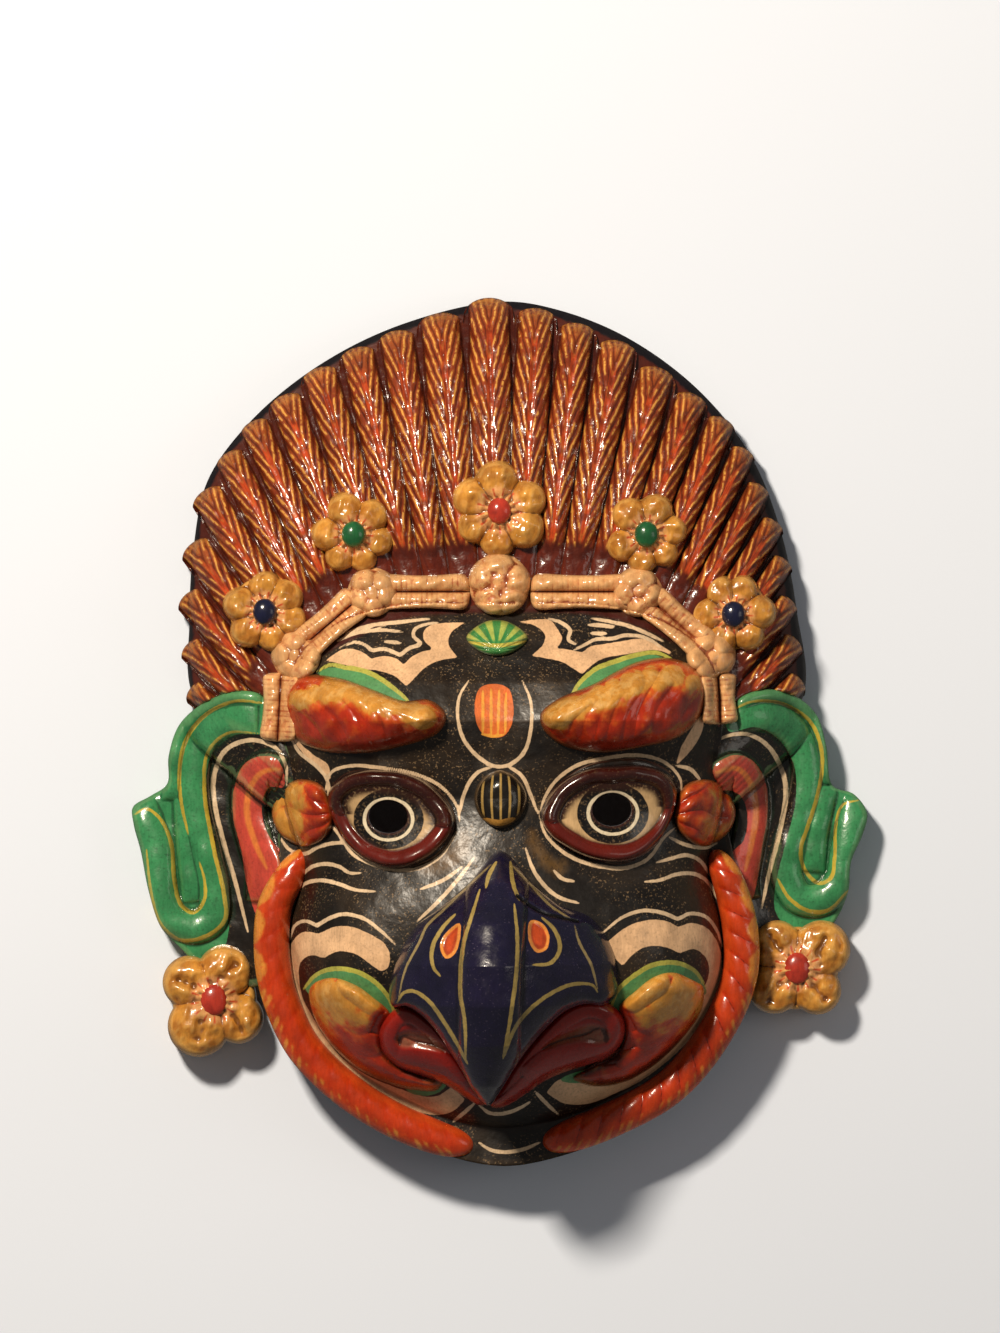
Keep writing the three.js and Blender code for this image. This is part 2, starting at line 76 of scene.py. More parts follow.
metres_per_row = (high.y - low.y) / MASK_ROWS
lens = bpy.data.cameras.new("camera")
lens.sensor_fit = "VERTICAL"
lens.sensor_height = SENSOR
lens.lens = SENSOR * (CAMERA_HEIGHT - SILHOUETTE_HEIGHT) / (PHOTO_ROWS * metres_per_row)
lens.clip_end = 50
camera = bpy.data.objects.new("camera", lens)
camera.location = (0, (MASK_MIDDLE_ROW - PHOTO_ROWS / 2) * metres_per_row, CAMERA_HEIGHT)
bpy.context.scene.collection.objects.link(camera)
bpy.context.scene.camera = camera
print("the lens is", round(lens.lens), "mm long")

# %% [markdown]
# ## Drawing helpers
# A brush line or an outline is a smooth curve through a few listed points. A point that is
# given twice is a corner. From such a curve we can measure how far any point of a surface lies from
# it, and that one number serves for everything: the swell of a moulded form, the depth of a groove
# and the edge of a painted patch.

# %% Curves and distances
REACH = 4.0  # mm: distances are measured up to this far
FULL_TURN = 2 * math.pi


def smooth(value, start, end):
    share = np.clip((value - start) / (end - start), 0, 1)
    return share * share * (3 - 2 * share)


def round_over(inside, radius):
    """Height of a round edge, 0 to 1, at a distance inside it."""
    return np.sqrt(1 - (1 - np.clip(inside / radius, 0, 1)) ** 2)


def dome(value):
    """A round arch over -1 to 1: 1 in its middle, 0 from its ends on."""
    return np.sqrt(np.clip(1 - value**2, 0, 1))


def around(middle, reach, angle):
    """The points at a reach and an angle from a middle."""
    return middle[0] + reach * np.cos(angle), middle[1] + reach * np.sin(angle)


def between(table, value):
    """Looks values up in a table whose first column grows; one result for each further column."""
    rows = np.array(table, float)
    return [np.interp(value, rows[:, 0], column) for column in rows[:, 1:].T]


def curve_through(points, wraps):
    before, after = points[-2], points[1]
    if not wraps:
        before, after = 2 * points[0] - points[1], 2 * points[-1] - points[-2]
    ring = np.vstack([before, points, after])
    t = np.linspace(0, 1, 12, endpoint=False)[:, None]
    stretches = []
    for a, b, c, d in zip(ring, ring[1:], ring[2:], ring[3:]):
        arms = (b - a, c - b, d - c)
        k1, k2, k3 = np.cumsum([max(np.linalg.norm(arm), 1e-6) ** 0.5 for arm in arms])
        gap = k2 - k1
        leave = gap * ((b - a) / k1 - (c - a) / k2 + (c - b) / gap)
        arrive = gap * ((c - b) / gap - (d - b) / (k3 - k1) + (d - c) / (k3 - k2))
        hermite = (2 * t**3 - 3 * t**2 + 1) * b + (t**3 - 2 * t**2 + t) * leave
        stretches.append(hermite + (3 * t**2 - 2 * t**3) * c + (t**3 - t**2) * arrive)
    return np.vstack([*stretches, points[-1:]])


def evenly(path, count):
    lengths = np.r_[0, np.cumsum(np.hypot(*np.diff(path, axis=0).T))]
    marks = np.linspace(0, lengths[-1], count)
    return np.column_stack([np.interp(marks, lengths, column) for column in path.T])


def flowing(points, closed=False, spacing=1.2):
    """A smooth path in mm through points in percent."""
    marks = np.array(points + points[:1] if closed else points, float) * percent
    corners = [i for i in range(1, len(marks)) if np.allclose(marks[i], marks[i - 1])]
    runs = np.split(marks, corners)
    wraps = closed and len(runs) == 1
    path = np.vstack([curve_through(run, wraps) if len(run) > 1 else run for run in runs])
    length = np.hypot(*np.diff(path, axis=0).T).sum()
    return evenly(path, max(int(length / spacing), 4))


def measured(path, x, y, reach=REACH):
    """Distance in mm to a path, where on the path it is nearest, and whether the path runs round it."""
    gap = np.full(x.shape, float(reach))
    along = np.zeros(x.shape)
    inside = np.zeros(x.shape, bool)
    lowest, highest = path.min(0) - reach, path.max(0) + reach
    near = np.flatnonzero((x > lowest[0]) & (x < highest[0]) & (y > lowest[1]) & (y < highest[1]))
    px, py = x[near], y[near]
    best, spot, odd = gap[near], along[near], inside[near]
    marks = np.linspace(0, 1, len(path))
    for (ax, ay), (bx, by), first, last in zip(path, path[1:], marks, marks[1:]):
        dx, dy = bx - ax, by - ay
        t = np.clip(((px - ax) * dx + (py - ay) * dy) / (dx * dx + dy * dy + 1e-12), 0, 1)
        distance = np.hypot(px - ax - t * dx, py - ay - t * dy)
        closer = distance < best
        best = np.where(closer, distance, best)
        spot = np.where(closer, first + t * (last - first), spot)
        if ay != by:
            odd ^= ((ay > py) != (by > py)) & (px < ax + (py - ay) * dx / dy)
    gap[near], along[near], inside[near] = best, spot, odd
    return gap, along, inside


def brushed(x, y, lines, width, tapers=True):
    """Brush lines: mm inside the paint, negative outside it."""
    cover = np.full(x.shape, -REACH)
    for line in lines:
        gap, along, _ = measured(flowing(line), x, y)
        pressure = np.clip(4 * along * (1 - along), 0.03, 1) ** 0.3 if tapers else 1
        cover = np.maximum(cover, width / 2 * pressure - gap)
    return cover


def filled(x, y, outlines):
    """Painted patches: mm inside the paint, negative outside it."""
    cover = np.full(x.shape, -REACH)
    for outline in outlines:
        gap, _, inside = measured(flowing(outline, closed=True), x, y)
        cover = np.maximum(cover, np.where(inside, gap, -gap))
    return cover


def ridges(x, y, folds):
    """Round ridges, each (points in percent, half width and rise in mm); the highest one counts."""
    height = np.zeros(x.shape)
    for points, half, rise in folds:
        gap, along, _ = measured(flowing(points), x, y, half)
        ends = round_over(np.minimum(along, 1 - along), 0.25)
        height = np.maximum(height, rise * ends * dome(gap / half))
    return height


def balls(x, y, middles):
    """Round lumps, each (x, y, radius) in mm: as high as the radius, and 0 outside them."""
    height = np.zeros(x.shape)
    for ball_x, ball_y, radius in middles:
        away = ((x - ball_x) ** 2 + (y - ball_y) ** 2) / radius**2
        height = np.maximum(height, radius * np.sqrt(np.clip(1 - away, 0, 1)))
    return height


def lumps(x, y, size, seed):
    """Slow unevenness of hand-moulded paste, about -1 to 1, with swells of a given size in mm."""
    random = np.random.default_rng(seed)
    total = np.zeros(x.shape)
    for _ in range(6):
        turn, shift = random.uniform(0, FULL_TURN, 2)
        pitch = size * random.uniform(0.7, 1.4)
        total += np.sin(FULL_TURN * (x * math.cos(turn) + y * math.sin(turn)) / pitch + shift)
    return total / 4


# %% [markdown]
# ## The forms under the paint
# The skin of the face is a dome whose height falls from its middle line to its edge, with soft
# swellings. The fan of hair is a lower dome behind it. Both are the same formulas as in the CAD
# source, so whatever sits on them in the photograph sits on them here.

# %% Outlines and heights of the shell
WALL = 8
FACE_RIM = 30
FAN_RIM = 12
FAN_ROOT = 44
FAN_LIP = 12
EAR_THICKNESS = 15
RUFF_INNER = 0.87
FAN_TABLE = 0.55
FACE_OUTLINE = [
    (0, 14.9), (13.6, 14.7), (22.8, 12.5), (28.2, 8.4), (30.4, 0.9), (30.4, -7.8), (32.2, -15.9),
    (34.3, -22.8), (34.3, -29.2), (30.9, -35.8), (24.7, -41.8), (16.3, -46.2), (8.1, -48.9), (0.7, -50),
    (-6.8, -48.9), (-15.2, -45.9), (-23.8, -41.3), (-29.7, -35), (-32.2, -28.6), (-32.5, -22.8),
    (-30.4, -15.9), (-29.3, -7.8), (-29.8, 1.3), (-27.5, 8.4), (-22, 12.6), (-13.6, 14.7),
]
FAN_OUTLINE = [
    (0, 50), (8.1, 49), (17.6, 45.7), (27.1, 39.7), (34.1, 32.2), (38.2, 23.5), (40.4, 14.2), (41.2, 4),
    (32, -4), (28, -14), (26, -26), (15, -36), (0, -39), (-15, -36), (-26, -26), (-28, -14), (-32, -4),
    (-41.7, 4), (-42.3, 13.1), (-41.7, 21.8), (-39.8, 29.3), (-33.9, 36.2), (-24.7, 42.6),
    (-13.6, 47.3),
]
FACE_PROFILE = [
    (-50, 24), (-44.1, 43), (-38.2, 53), (-29.4, 60), (-20.6, 62), (-13.2, 61), (-7.4, 60), (-2.9, 62),
    (1.5, 66), (5.9, 65), (10.9, 56), (14.9, 46),
]
FACE_SWELLINGS = [
    [(-17, 3), (11, 4.5), 5], [(17, 3.5), (11, 4.5), 5], [(-15, -9.5), (9, 5), -7],
    [(15.2, -8.7), (9, 5), -7], [(-21, -29), (9, 8), 8], [(22, -29), (9, 8), 8],
    [(0, -29), (8, 10), 13],
]
EARS = [
    [
        (-28.5, -1.4), (-31.7, 4.1), (-35.5, 4.9), (-40.2, 3.5), (-43.6, 1), (-45.1, -2.7),
        (-45.3, -5.9), (-47.6, -7.3), (-50, -8.6), (-49.9, -10.5), (-48.9, -13.8), (-47.8, -18.4),
        (-46.1, -22.6), (-43.1, -25.3), (-40, -28), (-32.2, -29.2), (-28, -22.8), (-25, -14.7),
    ],
    [
        (28.7, -1.4), (31.8, 3.6), (35.4, 5), (39.6, 4.5), (43, 2.2), (44.4, -1.5), (45.3, -6.1),
        (48.2, -7.1), (50, -9.3), (49.5, -11.5), (47.8, -14.9), (47.4, -18.4), (45.8, -21.6),
        (42.3, -25.1), (34.8, -26.9), (30, -22.8), (26, -14.7),
    ],
]
FACE_MIDDLE = np.array([0, -17]) * percent
FAN_MIDDLE = np.array([0, -26]) * percent


class Outline:
    """A closed outline seen from its middle."""

    def __init__(self, path, middle=None):
        area = np.sum(path[:-1, 0] * path[1:, 1] - path[1:, 0] * path[:-1, 1])
        self.path = path if area > 0 else path[::-1]
        self.middle = self.path[:-1].mean(0) if middle is None else middle
        self.marks = np.linspace(0, 1, len(self.path))
        arms = self.path[:-1] - self.middle
        angles = np.arctan2(arms[:, 1], arms[:, 0])
        order = np.argsort(angles)
        self.angles, self.reaches = angles[order], np.hypot(*arms.T)[order]

    def edge(self, turn):
        return [np.interp(turn % 1, self.marks, self.path[:, k]) for k in (0, 1)]

    def reach(self, angle):
        return np.interp(angle, self.angles, self.reaches, period=FULL_TURN)

    def share(self, x, y):
        dx, dy = x - self.middle[0], y - self.middle[1]
        return np.hypot(dx, dy) / self.reach(np.arctan2(dy, dx))


face = Outline(flowing(FACE_OUTLINE, closed=True), FACE_MIDDLE)
fan = Outline(flowing(FAN_OUTLINE, closed=True), FAN_MIDDLE)


def face_top(x, y):
    skin_edge = RUFF_INNER + (1 - RUFF_INNER) * smooth(y, -18 * up, -6 * up)
    share = np.minimum(face.share(x, y) / skin_edge, 1)
    crest = between(FACE_PROFILE, y / up)[0] * deep
    rim = FACE_RIM + (FAN_ROOT - FACE_RIM) * smooth(y, -4 * up, 14 * up)
    z = rim + np.maximum(crest - rim, 0) * (1 - share**2.6) ** 0.62
    for (place_x, place_y), (wide, tall), rise in FACE_SWELLINGS:
        near = ((x / across - place_x) / wide) ** 2 + ((y / up - place_y) / tall) ** 2
        z = z + rise * deep * np.exp(-near) * (1 - share**6)
    return z


def fan_top(x, y):
    fall = np.clip((fan.share(x, y) - FAN_TABLE) / (1 - FAN_TABLE), 0, 1)
    return FAN_RIM + (FAN_ROOT - FAN_RIM) * (1 - fall**2) ** 0.7


def higher(first, second, blend=3.0):
    """The higher of two surfaces, with a soft hollow where they meet."""
    lead = np.clip(0.5 + 0.5 * (first - second) / blend, 0, 1)
    return second + (first - second) * lead + blend * lead * (1 - lead)


def face_skin(x, y):
    return higher(face_top(x, y), fan_top(x, y))


def crown_top(x, y):
    return np.where(face.share(x, y) < 1, face_skin(x, y), fan_top(x, y))


def ear_top(x, y):
    outside = np.maximum(np.abs(x) / across - 30, 0)
    return EAR_THICKNESS + (FACE_RIM - EAR_THICKNESS) * np.exp(-outside / 4)


for part, outline in (("face", face), ("fan", fan)):
    print("the", part, "is", np.ptp(outline.path, axis=0).round(), "mm")

# %% [markdown]
# ## Paint and varnish
# The colours are matt tempera: pigment in glue, laid on opaque by brush. They look deep and wet
# because of the clear varnish over them, which is a coat with its own sharp gloss. Under it the
# colour is uneven: thin where the brush ran dry, darker in the grooves with dirt, old varnish and
# painted shade, and lighter on the crests with wear and a painted highlight. One Paint object builds
# up the coats in the order in which the painter laid them.

# %% Paint that is built up coat by coat
PAINT_SPAN = 6.0  # mm of distance that one attribute covers, half of it on each side of the edge
BRISTLE_DEPTH = 0.05
VARNISH_IOR = 1.5


def linear(colour):
    """An sRGB hex value as a linear colour."""
    channels = [int(colour[i : i + 2], 16) / 255 for i in (1, 3, 5)]
    return [c / 12.92 if c <= 0.04045 else ((c + 0.055) / 1.055) ** 2.4 for c in channels] + [1]


def add(tree, kind, inputs=None, **settings):
    """Adds a node with its settings; an input is a value or another node's output."""
    made = tree.nodes.new(kind)
    for name, value in settings.items():
        setattr(made, name, value)
    for socket, value in (inputs or {}).items():
        if isinstance(value, bpy.types.NodeSocket):
            tree.links.new(value, made.inputs[socket])
        else:
            made.inputs[socket].default_value = value
    return made


class Paint:
    def __init__(self, name, base):
        self.material = bpy.data.materials.new(name)
        self.material.use_nodes = True
        self.tree = self.material.node_tree
        self.tree.nodes.clear()
        self.place = add(self.tree, "ShaderNodeTexCoord").outputs["Object"]
        self.colour = linear(base)

    def read(self, attribute):
        return add(self.tree, "ShaderNodeAttribute", attribute_name=attribute).outputs["Fac"]

    def math(self, operation, a, b=0.0, c=0.0):
        return add(self.tree, "ShaderNodeMath", {0: a, 1: b, 2: c}, operation=operation).outputs[0]

    def both(self, first, second):
        """Two masks at once: their product."""
        return self.math("MULTIPLY", first, second)

    def noise(self, size, detail=2.0, stretch=(1, 1, 1)):
        """Noise with features of a size in mm, 0 to 1; a stretch makes them longer along an axis."""
        scale = [1 / s for s in stretch]
        squeezed = add(self.tree, "ShaderNodeMapping", {"Vector": self.place, "Scale": scale})
        inputs = {"Vector": squeezed.outputs[0], "Scale": 1 / (size * MM), "Detail": detail}
        return add(self.tree, "ShaderNodeTexNoise", inputs).outputs["Fac"]

    def ramp(self, value, start, end, first=0.0, last=1.0):
        inputs = {0: value, 1: start, 2: end, 3: first, 4: last}
        return add(self.tree, "ShaderNodeMapRange", inputs, interpolation_type="SMOOTHSTEP").outputs[0]

    def over(self, mask, colour):
        """Lays a colour over what is there, where the mask says."""
        colour = linear(colour) if isinstance(colour, str) else colour
        inputs = {0: mask, 6: self.colour, 7: colour}
        self.colour = add(self.tree, "ShaderNodeMix", inputs, data_type="RGBA").outputs[2]

    def mottle(self, colour, size, detail, start, end, strength):
        """Blotches of a second colour, with features of a size in mm."""
        self.over(self.ramp(self.noise(size, detail), start, end, 0.0, strength), colour)

    def coat(self, attribute, colour, edge=0.3, wobble=0.5, thin=0.12):
        """An opaque coat in the shape of an attribute, with a hand-drawn edge, thin in places."""
        shaken = self.math("MULTIPLY_ADD", self.noise(2.5), wobble / PAINT_SPAN, self.read(attribute))
        middle = 0.5 + wobble / PAINT_SPAN / 2
        half = edge / PAINT_SPAN / 2
        shape = self.ramp(shaken, middle - half, middle + half)
        cover = self.ramp(self.noise(1.1), 0.25, 0.5, 1 - 2 * thin, 1.0)
        self.over(self.both(shape, cover), colour)

    def specks(self, size, share, colour, strength=0.8):
        """Small specks where paint has lifted or dust is caught in the varnish."""
        spots = self.ramp(self.noise(size, 3.0), 1 - share, 1.04 - share, 0.0, strength)
        patchy = self.ramp(self.noise(18), 0.35, 0.6)
        self.over(self.both(spots, patchy), colour)

    def finish(
        self, grooves="#1c0905", crests="#d8a76a", wear_and_highlight=0.12, dirt_and_shade=0.75, rough=0.36,
        lumpy=0.35, gloss=0.6, haze=0.14,
    ):
        """Dirt and painted shade in the grooves, wear and a painted highlight on the crests, uneven
        pigment, and the varnish on top.
        """
        tree = self.tree
        # painted shade: the grooves are darkened, together with their dirt
        self.over(self.ramp(self.read("groove"), 0.53, 0.75, 0.0, dirt_and_shade), grooves)
        # painted highlight: the crests are lightened, together with their wear
        self.over(self.ramp(self.read("groove"), 0.44, 0.25, 0.0, wear_and_highlight), crests)
        shade = self.ramp(self.noise(9, 4.0), 0.3, 0.7, 0.8, 1.08)
        streaks = self.ramp(self.noise(0.8, 2.0, (1, 5, 1)), 0.3, 0.7, 0.9, 1.07)
        tone = self.both(shade, streaks)
        grey = add(tree, "ShaderNodeCombineColor", {0: tone, 1: tone, 2: tone}).outputs[0]
        inputs = {0: 1.0, 6: self.colour, 7: grey}
        mixed = add(tree, "ShaderNodeMix", inputs, data_type="RGBA", blend_type="MULTIPLY")
        waves = {"Height": self.noise(6, 3.0), "Distance": lumpy * MM, "Strength": 1.0}
        coarse = add(tree, "ShaderNodeBump", waves)
        bristles = {"Height": self.noise(0.7, 2.0), "Distance": BRISTLE_DEPTH * MM, "Strength": 1.0}
        fine = add(tree, "ShaderNodeBump", {**bristles, "Normal": coarse.outputs[0]})
        shader = add(tree, "ShaderNodeBsdfPrincipled", {
            "Base Color": mixed.outputs[2],
            "Roughness": self.ramp(self.noise(4, 3.0), 0.3, 0.7, rough - 0.07, rough + 0.12),
            "IOR": VARNISH_IOR,
            "Specular IOR Level": 0.3,
            "Normal": fine.outputs[0],
            "Coat Weight": gloss,
            "Coat Roughness": haze,
            "Coat IOR": VARNISH_IOR,
            "Coat Normal": coarse.outputs[0],
        })
        add(tree, "ShaderNodeOutputMaterial", {"Surface": shader.outputs[0]})
        return self.material


# %% [markdown]
# ## How a form is moulded
# Each relief form starts as a flat grid. Its edge is extruded down into a skirt and drawn together
# underneath, so it is a closed body before it has any shape. Then each of its points is moved: in
# plan to fill an outline or follow a line, and in height by a formula. The body is set a few
# millimetres into what carries it, as the maker presses fresh paste on to the dry shell.

# %% Moulding
BEDDING = 4.5
CLOSED_DISC = ((1, 1), (0.75, 0.75), (0.5, 0.5), (0.25, 0.25), (0, 0))
CLOSED_BAND = ((1, 1), (0.5, 1), (0, 1))


def grid_body(columns, rows, skirt):
    """A flat grid with a skirt under it, whose rings are scaled as listed; the last one is closed."""
    body = bmesh.new()
    bmesh.ops.create_grid(body, x_segments=columns, y_segments=rows, size=1)
    edges = [edge for edge in body.edges if edge.is_boundary]
    scale = (1, 1)
    for level, (wide, long) in enumerate(skirt, 1):
        made = bmesh.ops.extrude_edge_only(body, edges=edges)["geom"]
        ring = [item for item in made if isinstance(item, bmesh.types.BMVert)]
        edges = [item for item in made if isinstance(item, bmesh.types.BMEdge) and item.is_boundary]
        for point in ring:
            point.co = (point.co.x * wide / scale[0], point.co.y * long / scale[1], -level)
        scale = (wide, long)
    bmesh.ops.remove_doubles(body, verts=ring, dist=1e-5)
    bmesh.ops.recalc_face_normals(body, faces=body.faces)
    return body


def groove_depth(mesh, points, normals, rounds):
    """How deep each point lies under its surroundings, in mm."""
    pairs = np.empty(len(mesh.edges) * 2, np.int32)
    mesh.edges.foreach_get("vertices", pairs)
    a, b = pairs.reshape(-1, 2).T
    starts, ends = np.r_[a, b], np.r_[b, a]
    count = np.bincount(starts, minlength=len(points))[:, None]
    soft = points.copy()
    for _ in range(rounds):
        sums = [np.bincount(starts, soft[ends, k], len(points)) for k in range(3)]
        soft = 0.5 * soft + 0.5 * np.column_stack(sums) / count
    return ((soft - points) * normals).sum(1)


made_pieces = []


def moulded(name, body, place, material, rounds=14):
    """Shapes a body: place turns grid column, row and level into x, y, z in mm and the attributes."""
    mesh = bpy.data.meshes.new(name)
    body.to_mesh(mesh)
    body.free()
    flat = np.empty(len(mesh.vertices) * 3)
    mesh.vertices.foreach_get("co", flat)
    column, row, level = flat.reshape(-1, 3).T
    x, y, z, painted = place(column, row, -level.round())
    points = np.column_stack([x, y, z])
    mesh.vertices.foreach_set("co", (points * MM).ravel())
    measure = bmesh.new()
    measure.from_mesh(mesh)
    if measure.calc_volume(signed=True) < 0:
        mesh.flip_normals()
    measure.free()
    mesh.update()
    normals = np.empty(len(points) * 3)
    mesh.vertices.foreach_get("normal", normals)
    depth = groove_depth(mesh, points, normals.reshape(-1, 3), rounds)
    painted = {key: 0.5 + value / PAINT_SPAN for key, value in painted.items()}
    # the finish darkens by this depth as dirt and painted shade, and lightens the crests as wear and a
    # painted highlight
    painted["groove"] = 0.5 + depth
    for attribute, values in painted.items():
        stored = mesh.attributes.new(attribute, "FLOAT", "POINT")
        stored.data.foreach_set("value", np.clip(values, -50, 50))
    mesh.shade_smooth()
    return add_piece(name, mesh, material)


def add_piece(name, mesh, *materials):
    piece = bpy.data.objects.new(name, mesh)
    bpy.context.scene.collection.objects.link(piece)
    for material in materials:
        mesh.materials.append(material)
    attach(piece, "root")
    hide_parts("mask")
    made_pieces.append(name)
    return piece


def disc(column, row):
    """A square grid squeezed into a disc: the share of the way to the edge, and the turn from 0 to 1."""
    share = np.maximum(np.abs(column), np.abs(row))
    wide = np.abs(column) >= np.abs(row)
    longer = np.where(wide, column, row)
    slope = np.where(wide, row, column) / np.where(share > 0, longer, 1)
    turn = np.where(wide, slope / 8, 0.25 - slope / 8)
    return share, turn + np.where(longer < 0, 0.5, 0)


def relief(name, outline, skin, shape, material, cells=90, under=None, rounds=14):
    """A moulded form that fills an outline; shape gets x, y and the distance inside the edge."""
    under = under or (lambda x, y: skin(x, y) - BEDDING)
    form = Outline(flowing(outline, closed=True))

    def place(column, row, level):
        share, turn = disc(column, row)
        edge_x, edge_y = form.edge(turn)
        x = form.middle[0] + share * (edge_x - form.middle[0])
        y = form.middle[1] + share * (edge_y - form.middle[1])
        inside = measured(form.path, x, y, 60)[0]
        rise, painted = shape(x, y, inside)
        z = np.where(level > 0, under(x, y), skin(x, y) - 0.5 + rise)
        return x, y, z, painted

    return moulded(name, grid_body(cells, cells, CLOSED_DISC), place, material, rounds)


def band(name, line, half_width, skin, shape, material, cells=(24, 160), bedding=BEDDING, rounds=14):
    """A moulded band along a line; shape gets x, y, the place across it from -1 to 1 and mm along it."""
    path = flowing(line)
    length = np.hypot(*np.diff(path, axis=0).T).sum()
    slope = np.gradient(path, axis=0)
    slope /= np.hypot(*slope.T)[:, None]
    marks = np.linspace(-1, 1, len(path))

    def place(column, row, level):
        ends = np.clip(1 - np.abs(row) ** 12, 0.003, 1) ** 0.5
        aside = half_width((row + 1) / 2) * ends * column
        x = np.interp(row, marks, path[:, 0]) - aside * np.interp(row, marks, slope[:, 1])
        y = np.interp(row, marks, path[:, 1]) + aside * np.interp(row, marks, slope[:, 0])
        rise, painted = shape(x, y, column, (row + 1) / 2 * length)
        z = np.where(level > 0, skin(x, y) - bedding, skin(x, y) + rise * ends)
        return x, y, z, painted

    return moulded(name, grid_body(*cells, CLOSED_BAND), place, material, rounds)


print("the moulding helpers are ready")

# %% [markdown]
# ## The shell
# Seen from behind, the mask is one thin shell with a finished rim that it lies on. It is bare paper
# pulp inside, brown and fibrous. The front skin of the face is a second body on top of it, with a
# finer grid, because it carries most of the painting.

# %% The shell with its hollow
def bare_pulp():
    """Brown paper pulp, dried against a clay form: dull, fibrous and a little stained."""
    paint = Paint("bare paper pulp", "#6b4a30")
    paint.over(paint.ramp(paint.noise(14, 4.0), 0.35, 0.7), "#4a3020")
    paint.over(paint.ramp(paint.noise(0.9, 3.0, (3, 1, 1)), 0.5, 0.75, 0.0, 0.5), "#8a6848")
    return paint.finish(rough=0.75, lumpy=0.9, wear_and_highlight=0.1)


def edge_paint():
    """The dark blue-black that closes the painting at the mask's edge."""
    paint = Paint("blue-black tempera under varnish", "#100c12")
    paint.specks(1.2, 0.3, "#4a3a2c", 0.4)
    paint.coat("maroon", "#4a190d", edge=1.5, wobble=2.0)
    return paint.finish(wear_and_highlight=0.0, dirt_and_shade=0.0)


pulp, edge_black = bare_pulp(), edge_paint()
SHELL_CELLS = 120
SHELL_SINK = 3.6  # how far the shell's hidden front stays under the skins that dress it
SHELL_RINGS = (1, 1, 1, 0.985, 0.965, 0.94, 0.88, 0.8, 0.7, 0.6, 0.5, 0.4, 0.3, 0.2, 0.1, 0)
SHELL_MIDDLE = np.array([0, -15]) * percent
LIP_ROUND = 9
EDGE_BEVEL = 2.5
RIM_SLOPE = 400  # mm over the whole reach: the shell's front rises steeply from its rim


def shell_reach(angle):
    """The outer of the two outlines, face and fan, seen from one middle."""
    reach = np.zeros(angle.shape)
    for outline in (face, fan):
        seen = Outline(outline.path, SHELL_MIDDLE)
        reach = np.maximum(reach, seen.reach(angle))
    return reach


def buried(x, y):
    """How far a point lies inside the shell's outline, in mm."""
    dx, dy = x - SHELL_MIDDLE[0], y - SHELL_MIDDLE[1]
    return shell_reach(np.arctan2(dy, dx)) - np.hypot(dx, dy)


def place_shell(column, row, level):
    share, turn = disc(column, row)
    angle = FULL_TURN * turn
    reach = shell_reach(angle)
    lip = np.where(level == 0, FAN_LIP, 0)
    x, y = around(SHELL_MIDDLE, share * (reach - lip), angle)
    ceiling = crown_top(x, y) - WALL + 0.5 * lumps(x, y, 40, 1)
    ceiling = ceiling * round_over((1 - share) * reach, LIP_ROUND)
    edge_height = FAN_RIM + (FACE_RIM - FAN_RIM) * smooth(-y, 0, 16 * up)
    front = np.minimum(crown_top(x, y), edge_height + RIM_SLOPE * (1 - share))
    front = front - SHELL_SINK * smooth(1 - share, 0, 0.03)
    heights = [ceiling, 0 * x, edge_height - EDGE_BEVEL]
    z = np.select([level == 0, level == 1, level == 2], heights, front)
    between_locks = (1 - share) * reach - 3.2 - 1.2 * np.cos(angle)
    return x, y, z, {"maroon": np.where(y > -4 * up, between_locks, -3.0)}


shell_body = grid_body(SHELL_CELLS, SHELL_CELLS, [(share, share) for share in SHELL_RINGS])
shell = moulded("shell", shell_body, place_shell, pulp)
shell.data.materials.append(edge_black)
inner_faces = SHELL_CELLS**2 + 4 * SHELL_CELLS
painted_side = np.arange(len(shell.data.polygons)) >= inner_faces
shell.data.polygons.foreach_set("material_index", painted_side.astype(np.int32))
print("the shell stands on a rim", FAN_LIP, "mm wide")

# %% [markdown]
# ## The painted face
# The face is black, and on the black lie cream clouds with thin outlines, green caps over the brows
# and the cheek lobes, and white lines that follow every form. The lines were drawn with a loaded
# round brush: they swell in the middle and end in a point. Each list below is one such line or
# patch, set down as a painter would.

# %% What is painted on the face
LEFT_CLOUD = [
    (-23.7, 8.4), (-21, 9.7), (-19, 9.5), (-17.3, 8.6), (-17.3, 8.6), (-15.6, 8.9), (-14, 8.6),
    (-13, 7.9), (-13, 7.9), (-11.9, 8.8), (-10.2, 9.5), (-9.2, 9.7), (-10.3, 10.8), (-10.3, 11.7),
    (-9.5, 12.4), (-7.5, 12.7), (-4.6, 12.8), (-4.6, 12.8), (-6.5, 11.7), (-7, 10.4), (-5.7, 8.7),
    (-5.7, 8.7), (-8.1, 8.4), (-10.2, 7.5), (-11.8, 6.1), (-12.6, 5.4), (-12.6, 5.4), (-14.2, 6.6),
    (-16.9, 7.3), (-19.2, 7.4), (-21, 7.9),
]
RIGHT_CLOUD = [
    (4.2, 8.9), (5.8, 10.2), (6.1, 11.3), (4.7, 12.4), (2.4, 12.8), (2.4, 12.8), (4.7, 13.1), (6.8, 13),
    (7.6, 12.2), (8.4, 10.8), (7.6, 9.8), (7.6, 9.8), (9.5, 9.6), (11.1, 9.3), (11.1, 9.3), (12.2, 10),
    (14.2, 10.3), (16.5, 10.6), (19, 10.9), (21.4, 10.3), (23.8, 8.9), (23.8, 8.9), (21, 9.6),
    (19, 9.4), (16.3, 9), (14.2, 8.7), (12.6, 8), (11, 6.8), (11, 6.8), (9.8, 7.5), (8.4, 8.2),
    (6.5, 8.6),
]
